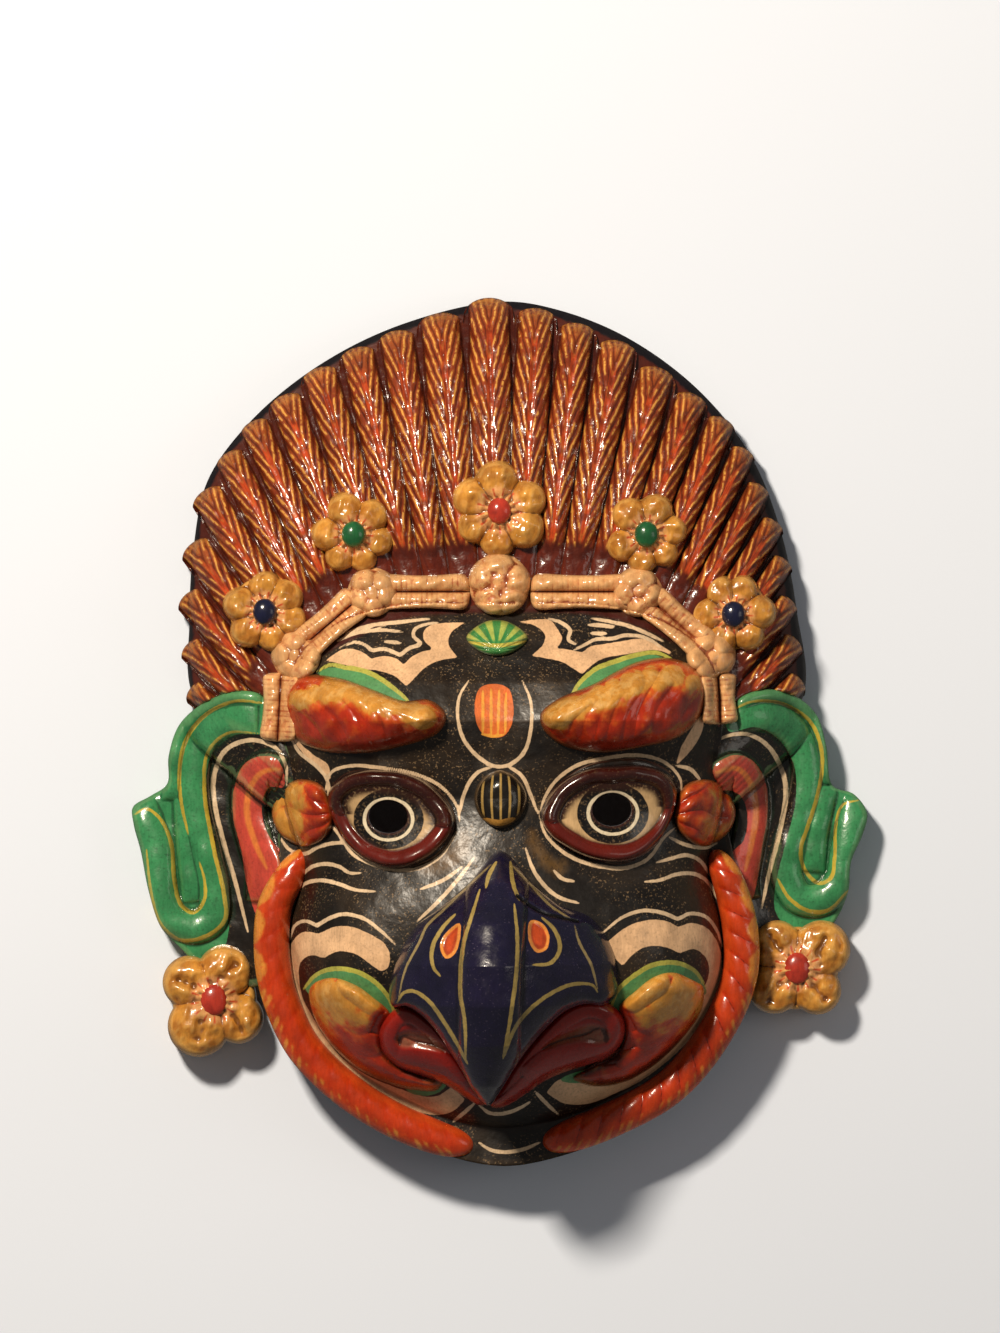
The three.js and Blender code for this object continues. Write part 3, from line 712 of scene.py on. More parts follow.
LEFT_CHEEK_CLOUD = [
    (-28.7, -25.7), (-28.3, -24.3), (-26.7, -22.9), (-24.4, -23), (-24.4, -23), (-22.4, -22.2),
    (-20.3, -22.1), (-17.9, -22.8), (-15.6, -24), (-14.8, -25.3), (-15.2, -26.9), (-16.1, -27.2),
    (-16.1, -27.2), (-17.6, -26.3), (-19.6, -25.2), (-22, -25), (-23.8, -25.8), (-23.8, -25.8),
    (-25.5, -25.5), (-27, -26.4), (-27.2, -28.6), (-26.7, -30.7), (-25.5, -32.6), (-24.1, -34.7),
    (-22.1, -36.9), (-20.1, -38.4), (-16.8, -40), (-13.3, -41.1), (-10.2, -41.9), (-8.5, -41.8),
    (-6.5, -40.7), (-6.5, -40.7), (-4.7, -42.2), (-4.7, -42.2), (-6.4, -43.6), (-8.7, -44.1),
    (-12.5, -43.4), (-16.3, -42.1), (-19.5, -40.4), (-22.9, -38.1), (-25.2, -35.4), (-27, -32.6),
    (-28.3, -29.9),
]
RIGHT_CHEEK_CLOUD = [
    (14.6, -23.7), (16.9, -22.2), (19.6, -21.4), (22.4, -21.5), (24, -22.2), (24, -22.2), (25.7, -21.8),
    (27.8, -22.3), (29.4, -24), (30.1, -26.3), (29.8, -29.2), (28.6, -32.1), (26.4, -34.8),
    (22.8, -37.8), (19, -40.2), (15.6, -41.6), (12.2, -42.7), (8.8, -42.7), (6.2, -41.4), (6.2, -41.4),
    (8.1, -39.8), (10.2, -39.9), (12.9, -39.8), (16.3, -39), (19.4, -37.4), (22.6, -35.1),
    (25.5, -32.5), (27.4, -29.7), (28.3, -27.4), (27.8, -25.8), (26.3, -24.8), (24.1, -25.2),
    (24.1, -25.2), (22.4, -24.5), (19.6, -24.4), (17.6, -25.5), (16.5, -26.6), (16.5, -26.6),
    (15.2, -25.3),
]
LEFT_GREEN = [
    (-24.8, 6.9), (-23, 7.6), (-21, 7.4), (-18.7, 7.1), (-16.5, 6.2), (-14.2, 5), (-12.2, 3.7),
    (-12.2, 3.7), (-14.2, 3.1), (-17.6, 3.6), (-21, 5),
]
RIGHT_GREEN = [
    (9.2, 3.6), (10.8, 5.7), (12.9, 7.2), (15.6, 8.1), (18.3, 8.8), (21, 9), (23.6, 8.2), (23.6, 8.2),
    (21, 6.1), (16.9, 5), (12.9, 3.6),
]
LEFT_CHEEK_GREEN = [
    (-26.4, -29.5), (-24.8, -27.9), (-22.2, -27.1), (-19.4, -27.4), (-16.7, -28.8), (-15, -30.6),
    (-14.2, -32.5), (-14.2, -32.5), (-15.6, -32.5), (-17.6, -31.4), (-21.7, -30), (-25.5, -30.2),
]
RIGHT_CHEEK_GREEN = [
    (14.9, -32.1), (15.9, -29.7), (18, -27.9), (20.6, -26.6), (23.6, -26.4), (26.2, -27.4),
    (27.8, -29.3), (27.9, -30.1), (26.6, -30.1), (23.4, -29.5), (19, -30.7), (16.5, -32.3),
]
UNDER_LIP_GREENS = [
    [
        (-13.3, -39.9), (-11.1, -40.2), (-8.8, -39.5), (-7.2, -40.2), (-8.1, -41.3), (-10.3, -41.8),
        (-12.5, -41.3),
    ],
    [(8.1, -39.9), (10.2, -39), (12.9, -38.8), (13.6, -39.7), (10.8, -40.3)],
]
TEMPLES = [
    [
        (-28.3, 0.8), (-27.1, -1), (-25.1, -2.5), (-23.2, -3.6), (-22.8, -5.4), (-22.8, -5.4),
        (-24.1, -4.5), (-26.4, -2.5), (-28, -0.6),
    ],
    [
        (27.8, 2.4), (27.1, -0.2), (25.5, -2.2), (23.7, -3.7), (23.7, -3.7), (24.4, -1.7), (25.7, 0.3),
        (27.1, 2),
    ],
]
EYE_CORNERS = [
    [
        (-5.1, -11.2), (-4.1, -12.2), (-4.6, -14.2), (-6.8, -15.6), (-9.8, -16.1), (-10.8, -15.6),
        (-8.1, -14.1), (-6.2, -12.6),
    ],
    [
        (4.3, -11), (5.4, -12.6), (7, -14.2), (8.9, -14.9), (8.1, -16.1), (6.1, -15.4), (4.3, -13.5),
        (3.7, -12.2),
    ],
]
THIRD_EYE = [
    (-2.7, 5.2), (-0.8, 5.7), (1.1, 5.2), (1.8, 3.2), (1.5, 0.9), (0.4, -0.3), (-1.8, -0.3), (-3, 0.9),
    (-3.4, 3.2),
]
CROWN_SHADOW = [
    (-31.2, -1.4), (-29.5, 2.1), (-28.2, 5.6), (-25.5, 8.2), (-20.3, 10.6), (-13.6, 13.1), (-0.4, 13.9),
    (13.6, 13.5), (21.7, 11.2), (27.4, 8.2), (29.3, 5), (31.2, -0.8), (35.2, 3.8), (29.8, 14.2),
    (13.6, 20), (-13.6, 20), (-29.8, 14.2), (-33.9, 5),
]
WHITE_LINES = [
    [
        (-21.7, 9.8), (-19.6, 10.5), (-18.3, 10.2), (-17.3, 9.5), (-17.3, 9.5), (-15.6, 9.7),
        (-13.4, 9), (-13.4, 9), (-12.3, 9.8), (-10.7, 10.3), (-11.7, 11.2), (-11.5, 12), (-10.2, 12.5),
        (-8.1, 12.8),
    ],
    [
        (9.8, 9.5), (11.2, 10.1), (11.2, 10.1), (12.9, 10.8), (15.2, 10.9), (16.9, 11.3), (19.6, 11),
        (22, 9.8),
    ],
    [(6.5, 13.2), (8.1, 12.8), (9.5, 11.9), (9.2, 10.8), (10.4, 10.2)],
    [(-22, 10.6), (-19.6, 11.5), (-16.5, 11.9), (-13.1, 11.7)], [(-15.7, 10.6), (-13.4, 10.4)],
    [(11.9, 12.5), (13.8, 12.4), (15.4, 12.2)], [(12.2, 11.5), (14.4, 11.5)],
    [(-21, 11.5), (-17.6, 12.4), (-13.6, 12.8), (-9.5, 13.2)],
    [(12.2, 13.3), (17.6, 12.3), (22.4, 10.5)],
    [
        (-4.2, 6.1), (-5.4, 4.4), (-5.7, 2.1), (-4.9, -0.6), (-3.1, -2.5), (-0.8, -3.7), (1.4, -3.5),
        (3.3, -2), (4.2, 0.9), (4.1, 3.8), (3, 6.1),
    ],
    [(-0.8, -3.7), (-3.1, -4.5), (-4.6, -6.4), (-5.6, -9.5)],
    [(0.7, -3.5), (3, -4.9), (4.2, -7.2), (5.1, -9.1)],
    [
        (-23.6, -6.6), (-22.8, -4.5), (-20.3, -3.7), (-16.3, -3.9), (-11.5, -4.6), (-7.9, -6.1),
        (-5.8, -8.3), (-5.4, -10.1),
    ],
    [
        (-24.7, -10.2), (-22.6, -10.8), (-21.3, -12.2), (-19.9, -13.8), (-17.1, -15), (-14.2, -15.6),
        (-10.8, -15.4), (-7.9, -13.9), (-5.7, -11.1),
    ],
    [
        (5.3, -9.1), (6.1, -7.2), (7.5, -5.4), (10.2, -3.7), (13.6, -2.9), (19, -2.5), (22.4, -3.4),
        (24.3, -5.2), (24.5, -6.6),
    ],
    [
        (5.3, -9.5), (6.1, -11.5), (8.1, -13.3), (10.8, -14.6), (14.2, -15.3), (16.9, -15.4),
        (19.9, -14.4), (22.2, -11.9), (23.7, -10.8),
    ],
    [(-28.5, -0.2), (-27.1, -2.2), (-24.7, -3.8), (-23.3, -5.4), (-23.3, -8), (-24.4, -9.1)],
    [(23.7, -3.7), (25.7, -4.1), (27.1, -5.4)],
    [(22.8, -11.9), (25.1, -12.8), (27.8, -13.2), (29.5, -12.7)],
    [(-30.1, -11.8), (-28.5, -13.5), (-26.4, -13.9), (-24.4, -13), (-21, -12.6), (-19.2, -13.5)],
    [(-27.4, -17), (-25.7, -15.5), (-23.7, -15), (-21.7, -15.3), (-20.3, -16), (-18.7, -16)],
    [(-28.3, -19.7), (-26.7, -17.5), (-24.4, -16.9), (-22, -17.2), (-19.6, -17.9), (-16.7, -18.1)],
    [(21.1, -14.8), (23, -14.4), (25.1, -14), (27.1, -14.7), (28.7, -16.7)],
    [(19.5, -17), (21.7, -16.8), (23.7, -16.2), (26.4, -16.2), (28.2, -17.2), (29.8, -19.6)],
    [
        (-28.6, -24), (-27.8, -22.2), (-26.4, -21.6), (-24.7, -22.1), (-24.7, -22.1), (-23, -21.2),
        (-21, -20.7), (-18.3, -21.2), (-16, -22.6), (-14, -24.2),
    ],
    [
        (13.8, -22.8), (16.3, -21.1), (19, -20.3), (21.7, -20.5), (24, -21.3), (24, -21.3),
        (25.7, -20.7), (27.8, -21.1), (29.3, -22.6), (30.2, -24.7),
    ],
    [(-3.4, -14.1), (-5.4, -16.4), (-8.1, -19), (-11.2, -21.5)],
    [(-5.1, -15.2), (-7.5, -16.7), (-10.7, -17.8)],
    [(3.4, -13), (4.7, -15.9), (7.5, -18.5), (10.6, -19.4)], [(7.2, -15.6), (8.4, -16.6), (10, -16.9)],
    [(-6.4, -44.9), (-4.9, -43.8), (-3.4, -42.6)], [(4.7, -41.2), (6.2, -42.6), (8, -44.1)],
    [(-3, -42.7), (-1.4, -43.8), (0.8, -43.8), (2.7, -43.2), (4.2, -42.4)],
    [(-3, -47.2), (-1.4, -48.1), (0.7, -48.4), (3.4, -48), (5.6, -47.2)],
]
YELLOW_LINES = [
    [(-24.7, 7.1), (-22.9, 7.9), (-21, 7.6), (-18.7, 7.3), (-16.3, 6.4), (-14, 5), (-12.1, 3.6)],
    [(9.1, 3.5), (10.7, 5.8), (12.9, 7.4), (15.6, 8.3), (18.3, 9), (21, 9.3), (23.7, 8.3)],
    [
        (-26.6, -29.5), (-24.9, -27.8), (-22.4, -27), (-19.2, -27.3), (-16.5, -28.7), (-14.9, -30.4),
        (-14.1, -32.5),
    ],
    [
        (14.8, -32.1), (15.7, -29.6), (17.9, -27.8), (20.6, -26.5), (23.7, -26.3), (26.3, -27.3),
        (27.9, -29.3),
    ],
]
THIRD_EYE_LINES = [
    [(-2.3, 5), (-2.3, 0.1)], [(-1.2, 5.2), (-1.2, -0.2)], [(-0.1, 5.2), (-0.3, -0.2)],
    [(0.8, 4.7), (0.7, 0.1)], [(-2.6, 0), (-0.8, -0.3), (0.5, -0.1)],
]


def painted_face(x, y):
    greens = [LEFT_GREEN, RIGHT_GREEN, LEFT_CHEEK_GREEN, RIGHT_CHEEK_GREEN, *UNDER_LIP_GREENS]
    return {
        "cream": filled(x, y, [LEFT_CLOUD, RIGHT_CLOUD, LEFT_CHEEK_CLOUD, RIGHT_CHEEK_CLOUD, *TEMPLES]),
        "green": filled(x, y, greens),
        "tan": filled(x, y, EYE_CORNERS),
        "orange": filled(x, y, [THIRD_EYE]),
        "maroon": filled(x, y, [CROWN_SHADOW]),
        "white": brushed(x, y, WHITE_LINES, 1.5),
        "lime": brushed(x, y, YELLOW_LINES, 1.9),
        "yellow": brushed(x, y, THIRD_EYE_LINES, 1.2),
    }


def black_tempera():
    """Lamp-black tempera, polished and varnished: nearly black, freckled brown where it wears thin."""
    paint = Paint("lamp-black tempera under varnish", "#110c09")
    paint.mottle("#34281b", 22, 3.0, 0.42, 0.68, 0.5)
    paint.specks(0.9, 0.40, "#8c7252", 0.6)
    paint.coat("maroon", "#3d120d", edge=2.0)
    # tan: soft brown patches by the inner eye corners, which also serve as a painted highlight on the
    # black
    paint.coat("tan", "#59401f", edge=5.0, wobble=3.0, thin=0.3)
    paint.coat("cream", "#d6ad84")
    paint.coat("green", "#4f8a55")
    paint.coat("lime", "#a9a648")
    paint.coat("orange", "#d0672a")
    paint.coat("yellow", "#dd9a3a")
    paint.coat("white", "#d3b795")
    return paint.finish(dirt_and_shade=0.35, crests="#6a5236", wear_and_highlight=0.1, rough=0.46, lumpy=0.5, gloss=0.3, haze=0.28)


# %% [markdown]
# The skin itself is one patch with about 0.7 mm between its points, fine enough to carry the brush
# lines. The pupils are real holes, as the wearer looks through them, so the skin and the shell are
# pierced there.

# %% The face's skin
def place_skin(column, row, level):
    share, turn = disc(column, row)
    angle = FULL_TURN * turn
    x, y = around(face.middle, face.reach(angle) * share, angle)
    z = face_skin(x, y) + lumps(x, y, 32, 2) * 0.35 + lumps(x, y, 9, 3) * 0.12
    return x, y, np.where(level > 0, z - SHELL_SINK - 1.5, z), painted_face(x, y)


SKIN_CELLS = 280
SKIN_SHARES = (1, 0.96, 0.92, 0.89, 0.875, 0.865, 0.85, 0.82, 0.75, 0.6, 0.4, 0.2, 0)
skin_body = grid_body(SKIN_CELLS, SKIN_CELLS, [(share, share) for share in SKIN_SHARES])
skin = moulded("painted_face", skin_body, place_skin, black_tempera())
print("the skin has", len(skin.data.vertices), "points")

# %% [markdown]
# ## The fan of hair
# Twenty-six locks of hair stand like flames round the head. Each is a long drop with a round golden
# tip, and fine ridges run down it in a herringbone, away from an orange stripe in its middle. The
# ridges are in the mesh. The gold on them is dragged over the crests with a nearly dry brush and
# follows the same herringbone.

# %% The hair locks
LOCK_TIPS = [
    (-41.3, 4.6), (-41.9, 9.6), (-42.1, 15.4), (-41.5, 21.2), (-39.6, 27.5), (-36.6, 31.8),
    (-33.4, 35.4), (-29.3, 38.4), (-24.6, 41.6), (-19.2, 44), (-14.3, 45.9), (-8.3, 48), (-1.4, 49.8),
    (5.2, 48.6), (10.4, 46.9), (15.9, 44.9), (21.5, 41.8), (26.2, 38.8), (30.3, 36), (33.2, 32.5),
    (35.1, 28.4), (37.2, 24.2), (38.5, 19.8), (39.2, 15.2), (40, 10.6), (40.6, 6),
]
LOCK_RISE = 8
LOCK_ROWS = 74
LOCK_NOTCH = 0.72  # how far the tips are rounded, as a share of a lock's half width
CARVING = 0.8
LOCK_LENGTH = 0.47  # share of the reach of a lock's tip
HERRINGBONE_SLOPE = math.radians(16)
HERRINGBONE_PITCH = 2.6
TIP_WIDTH = 0.8  # of the room between two locks
STRIPE_HALF = 1.15
COLUMNS_PER_LOCK = 26
HAIR_SKIRT = ((1, 1), (1, 0.75), (1, 0.5), (1, 0.25), (1, 0))
CROWN_LINE = [(-30.2, -2), (-29, 7), (-26.5, 10.4), (-18, 16.2), (18.5, 16.4), (27.5, 10.4), (30, 1)]
tips = np.array(LOCK_TIPS) * percent - FAN_MIDDLE
tip_angles = np.unwrap(np.arctan2(tips[:, 1], tips[:, 0]))
tip_reaches = np.hypot(*tips.T)
steps = np.diff(tip_angles) / 2
lock_edges = np.r_[tip_angles[0] - steps[0], tip_angles[:-1] + steps, tip_angles[-1] + steps[-1]]
crown_line = flowing(CROWN_LINE)


def herringbone(side, along):
    return (along * math.sin(HERRINGBONE_SLOPE) + side * math.cos(HERRINGBONE_SLOPE)) / HERRINGBONE_PITCH


def place_locks(column, row, level):
    count = len(tip_reaches)
    spot = (column + 1) / 2 * count
    lock = np.minimum(spot.astype(int), count - 1)
    offset = 2 * (spot - lock) - 1
    angle = lock_edges[lock] + (lock_edges[lock + 1] - lock_edges[lock]) * (spot - lock)
    half = tip_reaches[lock] * np.abs(lock_edges[lock + 1] - lock_edges[lock]) / 2
    notch = half * LOCK_NOTCH * (1 - dome(0.97 * offset))
    reach = tip_reaches[lock] - notch + 2.2 - 1.3 * np.cos(angle)
    down = (1 - row) / 2
    along = down**1.15 * LOCK_LENGTH * tip_reaches[lock]
    x, y = around(FAN_MIDDLE, reach - along, angle)
    side = np.abs(offset) * half * (reach - along) / tip_reaches[lock]
    from_tip = along + notch
    grown = smooth(measured(crown_line, x, y, 30)[0], 10, 21)
    wide = TIP_WIDTH + (1.02 - TIP_WIDTH) * smooth(along, 3, 45)
    arch = dome(offset / wide)
    tip = round_over(along, 5.5)
    wave = 0.5 - 0.5 * np.cos(FULL_TURN * herringbone(side, from_tip))
    in_stripe = smooth(side, STRIPE_HALF * 1.2, STRIPE_HALF * 0.7) * smooth(along, 6, 12)
    carving = (wave * (1 - in_stripe) - 0.7 * in_stripe) * smooth(along, 0.5, 5)
    rise = LOCK_RISE * (arch * (0.35 + 0.65 * tip) - 0.1 - 0.2 * tip) * (0.3 + 0.7 * grown)
    rise = rise + CARVING * carving * grown * smooth(arch, 0, 0.3)
    base = fan_top(x, y)
    z = base + rise - (1 - tip) * 2.2 * arch + 0.4 * lumps(x, y, 16, 4) + 0.25 * lumps(x, y, 5, 14)
    painted = {
        "side": side,
        "from_tip": from_tip,
        "fade": grown * 6,
        "gap": (np.abs(offset) - wide) * side / np.maximum(np.abs(offset), 0.01) + 0.4,
    }
    in_the_wall = np.where(face.share(x, y) < 1, crown_top(x, y) - 6.5, 3)
    under = np.maximum(base - 5.5, in_the_wall)
    beside_ears = 1 - smooth(filled(x, y, EARS), -0.5, 2.5)
    z = under + 0.5 + np.maximum(z - under - 0.5, 0) * beside_ears
    return x, y, np.where(level > 0, under, z), painted


def hair_paint():
    """Red-brown tempera with an orange stripe and dry-brushed gold, under thick varnish."""
    paint = Paint("red-brown tempera and gold under varnish", "#7d3218")
    side = paint.both(paint.math("SUBTRACT", paint.read("side"), 0.5), PAINT_SPAN)
    from_tip = paint.both(paint.math("SUBTRACT", paint.read("from_tip"), 0.5), PAINT_SPAN)
    fade = paint.math("SUBTRACT", paint.read("fade"), 0.5)
    slope, pitch = HERRINGBONE_SLOPE, HERRINGBONE_PITCH
    phase = paint.both(from_tip, math.sin(slope) / pitch)
    phase = paint.math("MULTIPLY_ADD", side, math.cos(slope) / pitch, phase)
    phase = paint.math("MULTIPLY_ADD", paint.noise(5, 2.0), 0.6, paint.math("SUBTRACT", phase, 0.3))
    crest = paint.math("SINE", paint.math("MULTIPLY_ADD", phase, FULL_TURN, -math.pi / 2))
    paint.mottle("#9a4620", 12, 3.0, 0.35, 0.65, 0.6)
    paint.over(paint.ramp(from_tip, 15, 3, 0.0, 0.7), "#9c5020")
    # painted shade: darker in the troughs between the herringbone ridges
    paint.over(paint.ramp(crest, -0.3, -0.9, 0.0, 0.7), "#4f160b")
    stripe = paint.ramp(side, STRIPE_HALF + 0.3, STRIPE_HALF - 0.4)
    stripe = paint.both(stripe, paint.ramp(from_tip, 8, 13))
    paint.over(paint.both(stripe, paint.ramp(fade, 0.15, 0.6)), "#b3421a")
    # painted shade: darker at the roots, where the hair goes under the crown
    paint.over(paint.ramp(fade, 0.6, 0.1, 0.0, 0.85), "#4f170c")
    loaded = paint.ramp(paint.noise(7, 2.0), 0.36, 0.46)
    loaded = paint.both(loaded, paint.ramp(paint.noise(1.5, 3.0), 0.3, 0.5))
    gold = paint.both(paint.ramp(crest, 0.35, 0.85), loaded)
    gold = paint.both(gold, paint.ramp(side, STRIPE_HALF - 0.4, STRIPE_HALF + 0.5, 0.25, 1.0))
    gold = paint.both(gold, paint.ramp(fade, 0.1, 0.45))
    paint.over(paint.both(gold, 0.92), "#d79a48")
    cap = paint.both(paint.ramp(from_tip, 5.0, 0.5), paint.ramp(paint.noise(2.2), 0.35, 0.6, 0.0, 0.6))
    paint.over(cap, "#b87c30")
    paint.coat("gap", "#4a190d", edge=0.8)
    return paint.finish(grooves="#3c1209", dirt_and_shade=0.6, wear_and_highlight=0.0, rough=0.27, lumpy=0.8)


hair_body = grid_body(len(LOCK_TIPS) * COLUMNS_PER_LOCK, LOCK_ROWS, HAIR_SKIRT)
moulded("hair_locks", hair_body, place_locks, hair_paint(), 8)
lock_pitch = float(tip_reaches.mean() * abs(steps.mean()) * 2)
print(len(LOCK_TIPS), "locks, about", round(lock_pitch), "mm apart")

# %% [markdown]
# ## The crown
# A crown of bones lies between the hair and the forehead: shafts with two ridges, round joints
# between them, and five flowers with a coloured bead each. The paste was pressed on in rolls and
# pinched, so nothing is quite even.

# %% Bones, joints, flowers and beads
CROWN_FLOWERS = [(-0.1, 25.6), (-19.8, 22.9), (19.8, 22.9), (-31.8, 14), (31.6, 13.7)]
CROWN_BONES = [
    [(-4, 16.3), (-17.3, 16.3)], [(-19, 15.6), (-27.5, 9.4)], [(-29.6, 7), (-30.1, -1)],
    [(4, 16.3), (18.7, 16.3)], [(20, 15.6), (28.5, 9.4)], [(29.5, 7), (29.8, 1)],
]
CROWN_KNUCKLES = [(-0.1, 17.2), (-17.3, 16.3), (18.7, 16.3), (-27.6, 9), (28.6, 9)]
EAR_FLOWERS = [(-38.9, -30.9), (40.4, -27.2)]


def bone_paint():
    """Flesh-cream tempera over red, rubbed so that the red shows in every furrow."""
    paint = Paint("cream tempera over red under varnish", "#d6a06a")
    paint.mottle("#c4854f", 7, 3.0, 0.35, 0.65, 0.5)
    worn = paint.ramp(paint.noise(5, 3.0), 0.42, 0.62)
    furrows = paint.ramp(paint.read("rib"), 0.6, 0.95, 0.0, 0.75)
    paint.over(paint.both(furrows, worn), "#a04a2c")
    paint.specks(2.4, 0.48, "#a8492a", 0.6)
    return paint.finish(grooves="#7a2e14", crests="#e9c088", wear_and_highlight=0.35, dirt_and_shade=0.85, rough=0.28, lumpy=0.5)


def flower_paint():
    """Gold-brown tempera, with painted shade where the petals turn under, and a peach calyx round the
    bead.
    """
    paint = Paint("gold-brown tempera under varnish", "#c78a38")
    paint.mottle("#97591e", 7, 3.0, 0.35, 0.62, 0.7)
    paint.mottle("#d9a04f", 5, 2.0, 0.5, 0.7, 0.5)
    paint.coat("calyx", "#d69a62", edge=2.5, wobble=1.5, thin=0.3)
    paint.coat("ray", "#c2502c", edge=0.8, thin=0.3)
    return paint.finish(grooves="#4f220a", crests="#e9bd6c", wear_and_highlight=0.3, dirt_and_shade=0.75, rough=0.26, lumpy=0.5)


bone_cream, flower_gold = bone_paint(), flower_paint()
BONE_WIDTH = 15
BONE_RISE = 4.5
BONE_BASE = 2.2
RIB_PITCH = 2.0
RIB_HEIGHT = 0.12
KNUCKLE_RISE = 5.5
KNUCKLE_RADII = (12.5, 10)  # over the forehead, and to its sides


def bone_shape(x, y, column, along):
    twin = dome((np.abs(column) - 0.5) / 0.5)
    wear = 0.5 + 0.5 * lumps(x, y, 11, 15)
    ribs = np.cos(FULL_TURN * along / RIB_PITCH)
    swell = 0.7 * lumps(x, y, 17, 5) + 0.35 * lumps(x, y, 6, 16)
    rise = BONE_RISE * twin + BONE_BASE + RIB_HEIGHT * ribs * twin * wear + swell
    return rise, {"rib": -3 * ribs}


def knuckle_shape(middle, radius, seed):
    """A joint of the crown: knobs of paste pressed together."""
    random = np.random.default_rng(seed)
    centre = np.array(middle) * percent
    turns = random.uniform(0, 6) + np.arange(5) * FULL_TURN / 5 + random.uniform(-0.3, 0.3, 5)
    knobs = [(*around(centre, 0.52 * radius, turn), radius * 0.52) for turn in turns]
    knobs.append((*(centre + random.uniform(-1, 1, 2)), radius * 0.5))

    def shape(x, y, inside):
        knobbed = balls(x, y, knobs)
        swell = 0.4 * lumps(x, y, 6, seed) * smooth(inside, 0, 3)
        rise = KNUCKLE_RISE * round_over(inside, 6) + 0.85 * knobbed + swell
        return rise, {"rib": np.full(x.shape, -3.0)}

    return shape


def blob(middle, radius, points=10):
    """An almost round outline in percent."""
    centre = np.array(middle) * percent
    turns = np.arange(points) * FULL_TURN / points
    return [tuple(around(centre, radius, turn) / percent) for turn in turns]


def bone_half(share):
    return BONE_WIDTH / 2 * (0.86 + 0.2 * (2 * share - 1) ** 2)


for number, ends in enumerate(CROWN_BONES):
    band(f"bone_{number}", ends, bone_half, crown_top, bone_shape, bone_cream, (32, 76), 6)
for number, middle in enumerate(CROWN_KNUCKLES):
    radius = KNUCKLE_RADII[min(number, 1)]
    shape = knuckle_shape(middle, radius, 20 + number)
    relief(f"joint_{number}", blob(middle, radius), crown_top, shape, bone_cream, 46)


CALYX_RAYS = 13
PETAL_EDGE = 2.6


def flower(name, middle, carrier, under, radius, rise, petals, twist, curl, bead_size, enamel):
    """A flower of plump pinched petals round a ribbed calyx, with a bead in it."""
    centre = np.array(middle) * percent
    ground = carrier(centre[:1], centre[1:])[0]
    random = np.random.default_rng(petals + int(abs(10 * middle[0])))
    sizes = random.uniform(0.84, 1.14, petals)
    turns = (np.arange(petals) + random.uniform(-0.14, 0.14, petals)) * FULL_TURN / petals + twist
    plump = math.sin(math.pi / petals) * 0.8
    knobs, pinches = [], []
    for turn, size in zip(turns, sizes):
        out = np.array([math.cos(turn), math.sin(turn)])
        knobs.append((*(centre + 0.6 * radius * out), radius * plump * size))
        aside = np.array([-out[1], out[0]]) * random.uniform(-1, 1) * 0.12 * radius
        pinches.append((centre + 0.5 * radius * out, centre + 0.8 * radius * out + aside))

    def place(column, row, level):
        share, turn = disc(column, row)
        angle = FULL_TURN * turn
        rim = np.linspace(0, FULL_TURN, 181)
        out_x, out_y = np.cos(rim), np.sin(rim)
        rim_reach = np.zeros(rim.shape)
        for ball_x, ball_y, size in knobs:
            ahead = (ball_x - centre[0]) * out_x + (ball_y - centre[1]) * out_y
            aside = (ball_x - centre[0]) * out_y - (ball_y - centre[1]) * out_x
            chord = ahead + np.sqrt(np.clip(size**2 - aside**2, 0, None))
            rim_reach = np.where(np.abs(aside) < size, np.maximum(rim_reach, chord), rim_reach)
        rim_reach = np.maximum(rim_reach, 0.82 * radius)
        reach = np.interp(angle % (FULL_TURN), rim, rim_reach)
        x, y = around(centre, share * reach, angle)
        away = np.hypot(x - centre[0], y - centre[1]) / radius
        petal = balls(x, y, knobs) / (radius * plump)
        for start, end in pinches:
            gap = measured(np.array([start, end]), x, y, 4)[0]
            petal = petal - curl * np.exp(-((gap / 2.0) ** 2)) * (petal > 0.2)
        ribbed = 0.05 * np.cos(angle * CALYX_RAYS) * (away < 0.5)
        calyx = 0.95 * dome(away / 0.52) + ribbed
        height = higher(petal, calyx, 0.12) * smooth(1 - share, 0, 0.06)
        edge = PETAL_EDGE * round_over((1 - share) * reach, PETAL_EDGE)
        swell = (0.8 * lumps(x, y, 7, 7) + 0.2 * lumps(x, y, 3.5, 8)) * smooth(1 - share, 0, 0.2)
        z = ground + rise * 0.76 * height + edge + swell
        rays = np.minimum((np.cos(angle * CALYX_RAYS + 1) - 0.75) * 2.0, (0.46 - away) * radius)
        painted = {"calyx": (0.47 - away) * radius, "ray": np.minimum(rays, (away - 0.3) * radius)}
        return x, y, np.where(level > 0, under(x, y, ground), z), painted

    moulded(name, grid_body(80, 80, CLOSED_DISC), place, flower_gold, 10)
    bead = bmesh.new()
    bmesh.ops.create_uvsphere(bead, u_segments=32, v_segments=18, radius=1)
    place_at = np.array([*centre, ground + rise * 0.88])
    for point in bead.verts:
        point.co = (place_at + np.array(point.co) * bead_size) * MM
    mesh = bpy.data.meshes.new(name + "_bead")
    bead.to_mesh(mesh)
    bead.free()
    mesh.shade_smooth()
    add_piece(name + "_bead", mesh, enamel)


def bead_paint(name, colour, dark):
    paint = Paint(name, colour)
    paint.mottle(dark, 4, 2.0, 0.4, 0.7, 0.5)
    return paint.finish(dirt_and_shade=0.0, wear_and_highlight=0.0, rough=0.22, lumpy=0.15)


CROWN_BEAD = (4.7, 5.2, 3.4)
EAR_BEAD = (5.2, 6.2, 2.6)
CROWN_FLOWER_RADII = (19.5, 17)  # in the middle, and beside it
EAR_FLOWER_TURNS = (1.0, 0.66)
BACK_GAP = 0.6  # how far the ear flowers' undersides stay over the back plane


def on_the_hair(x, y, ground):
    return np.minimum(crown_top(x, y) - BEDDING, ground - 2)


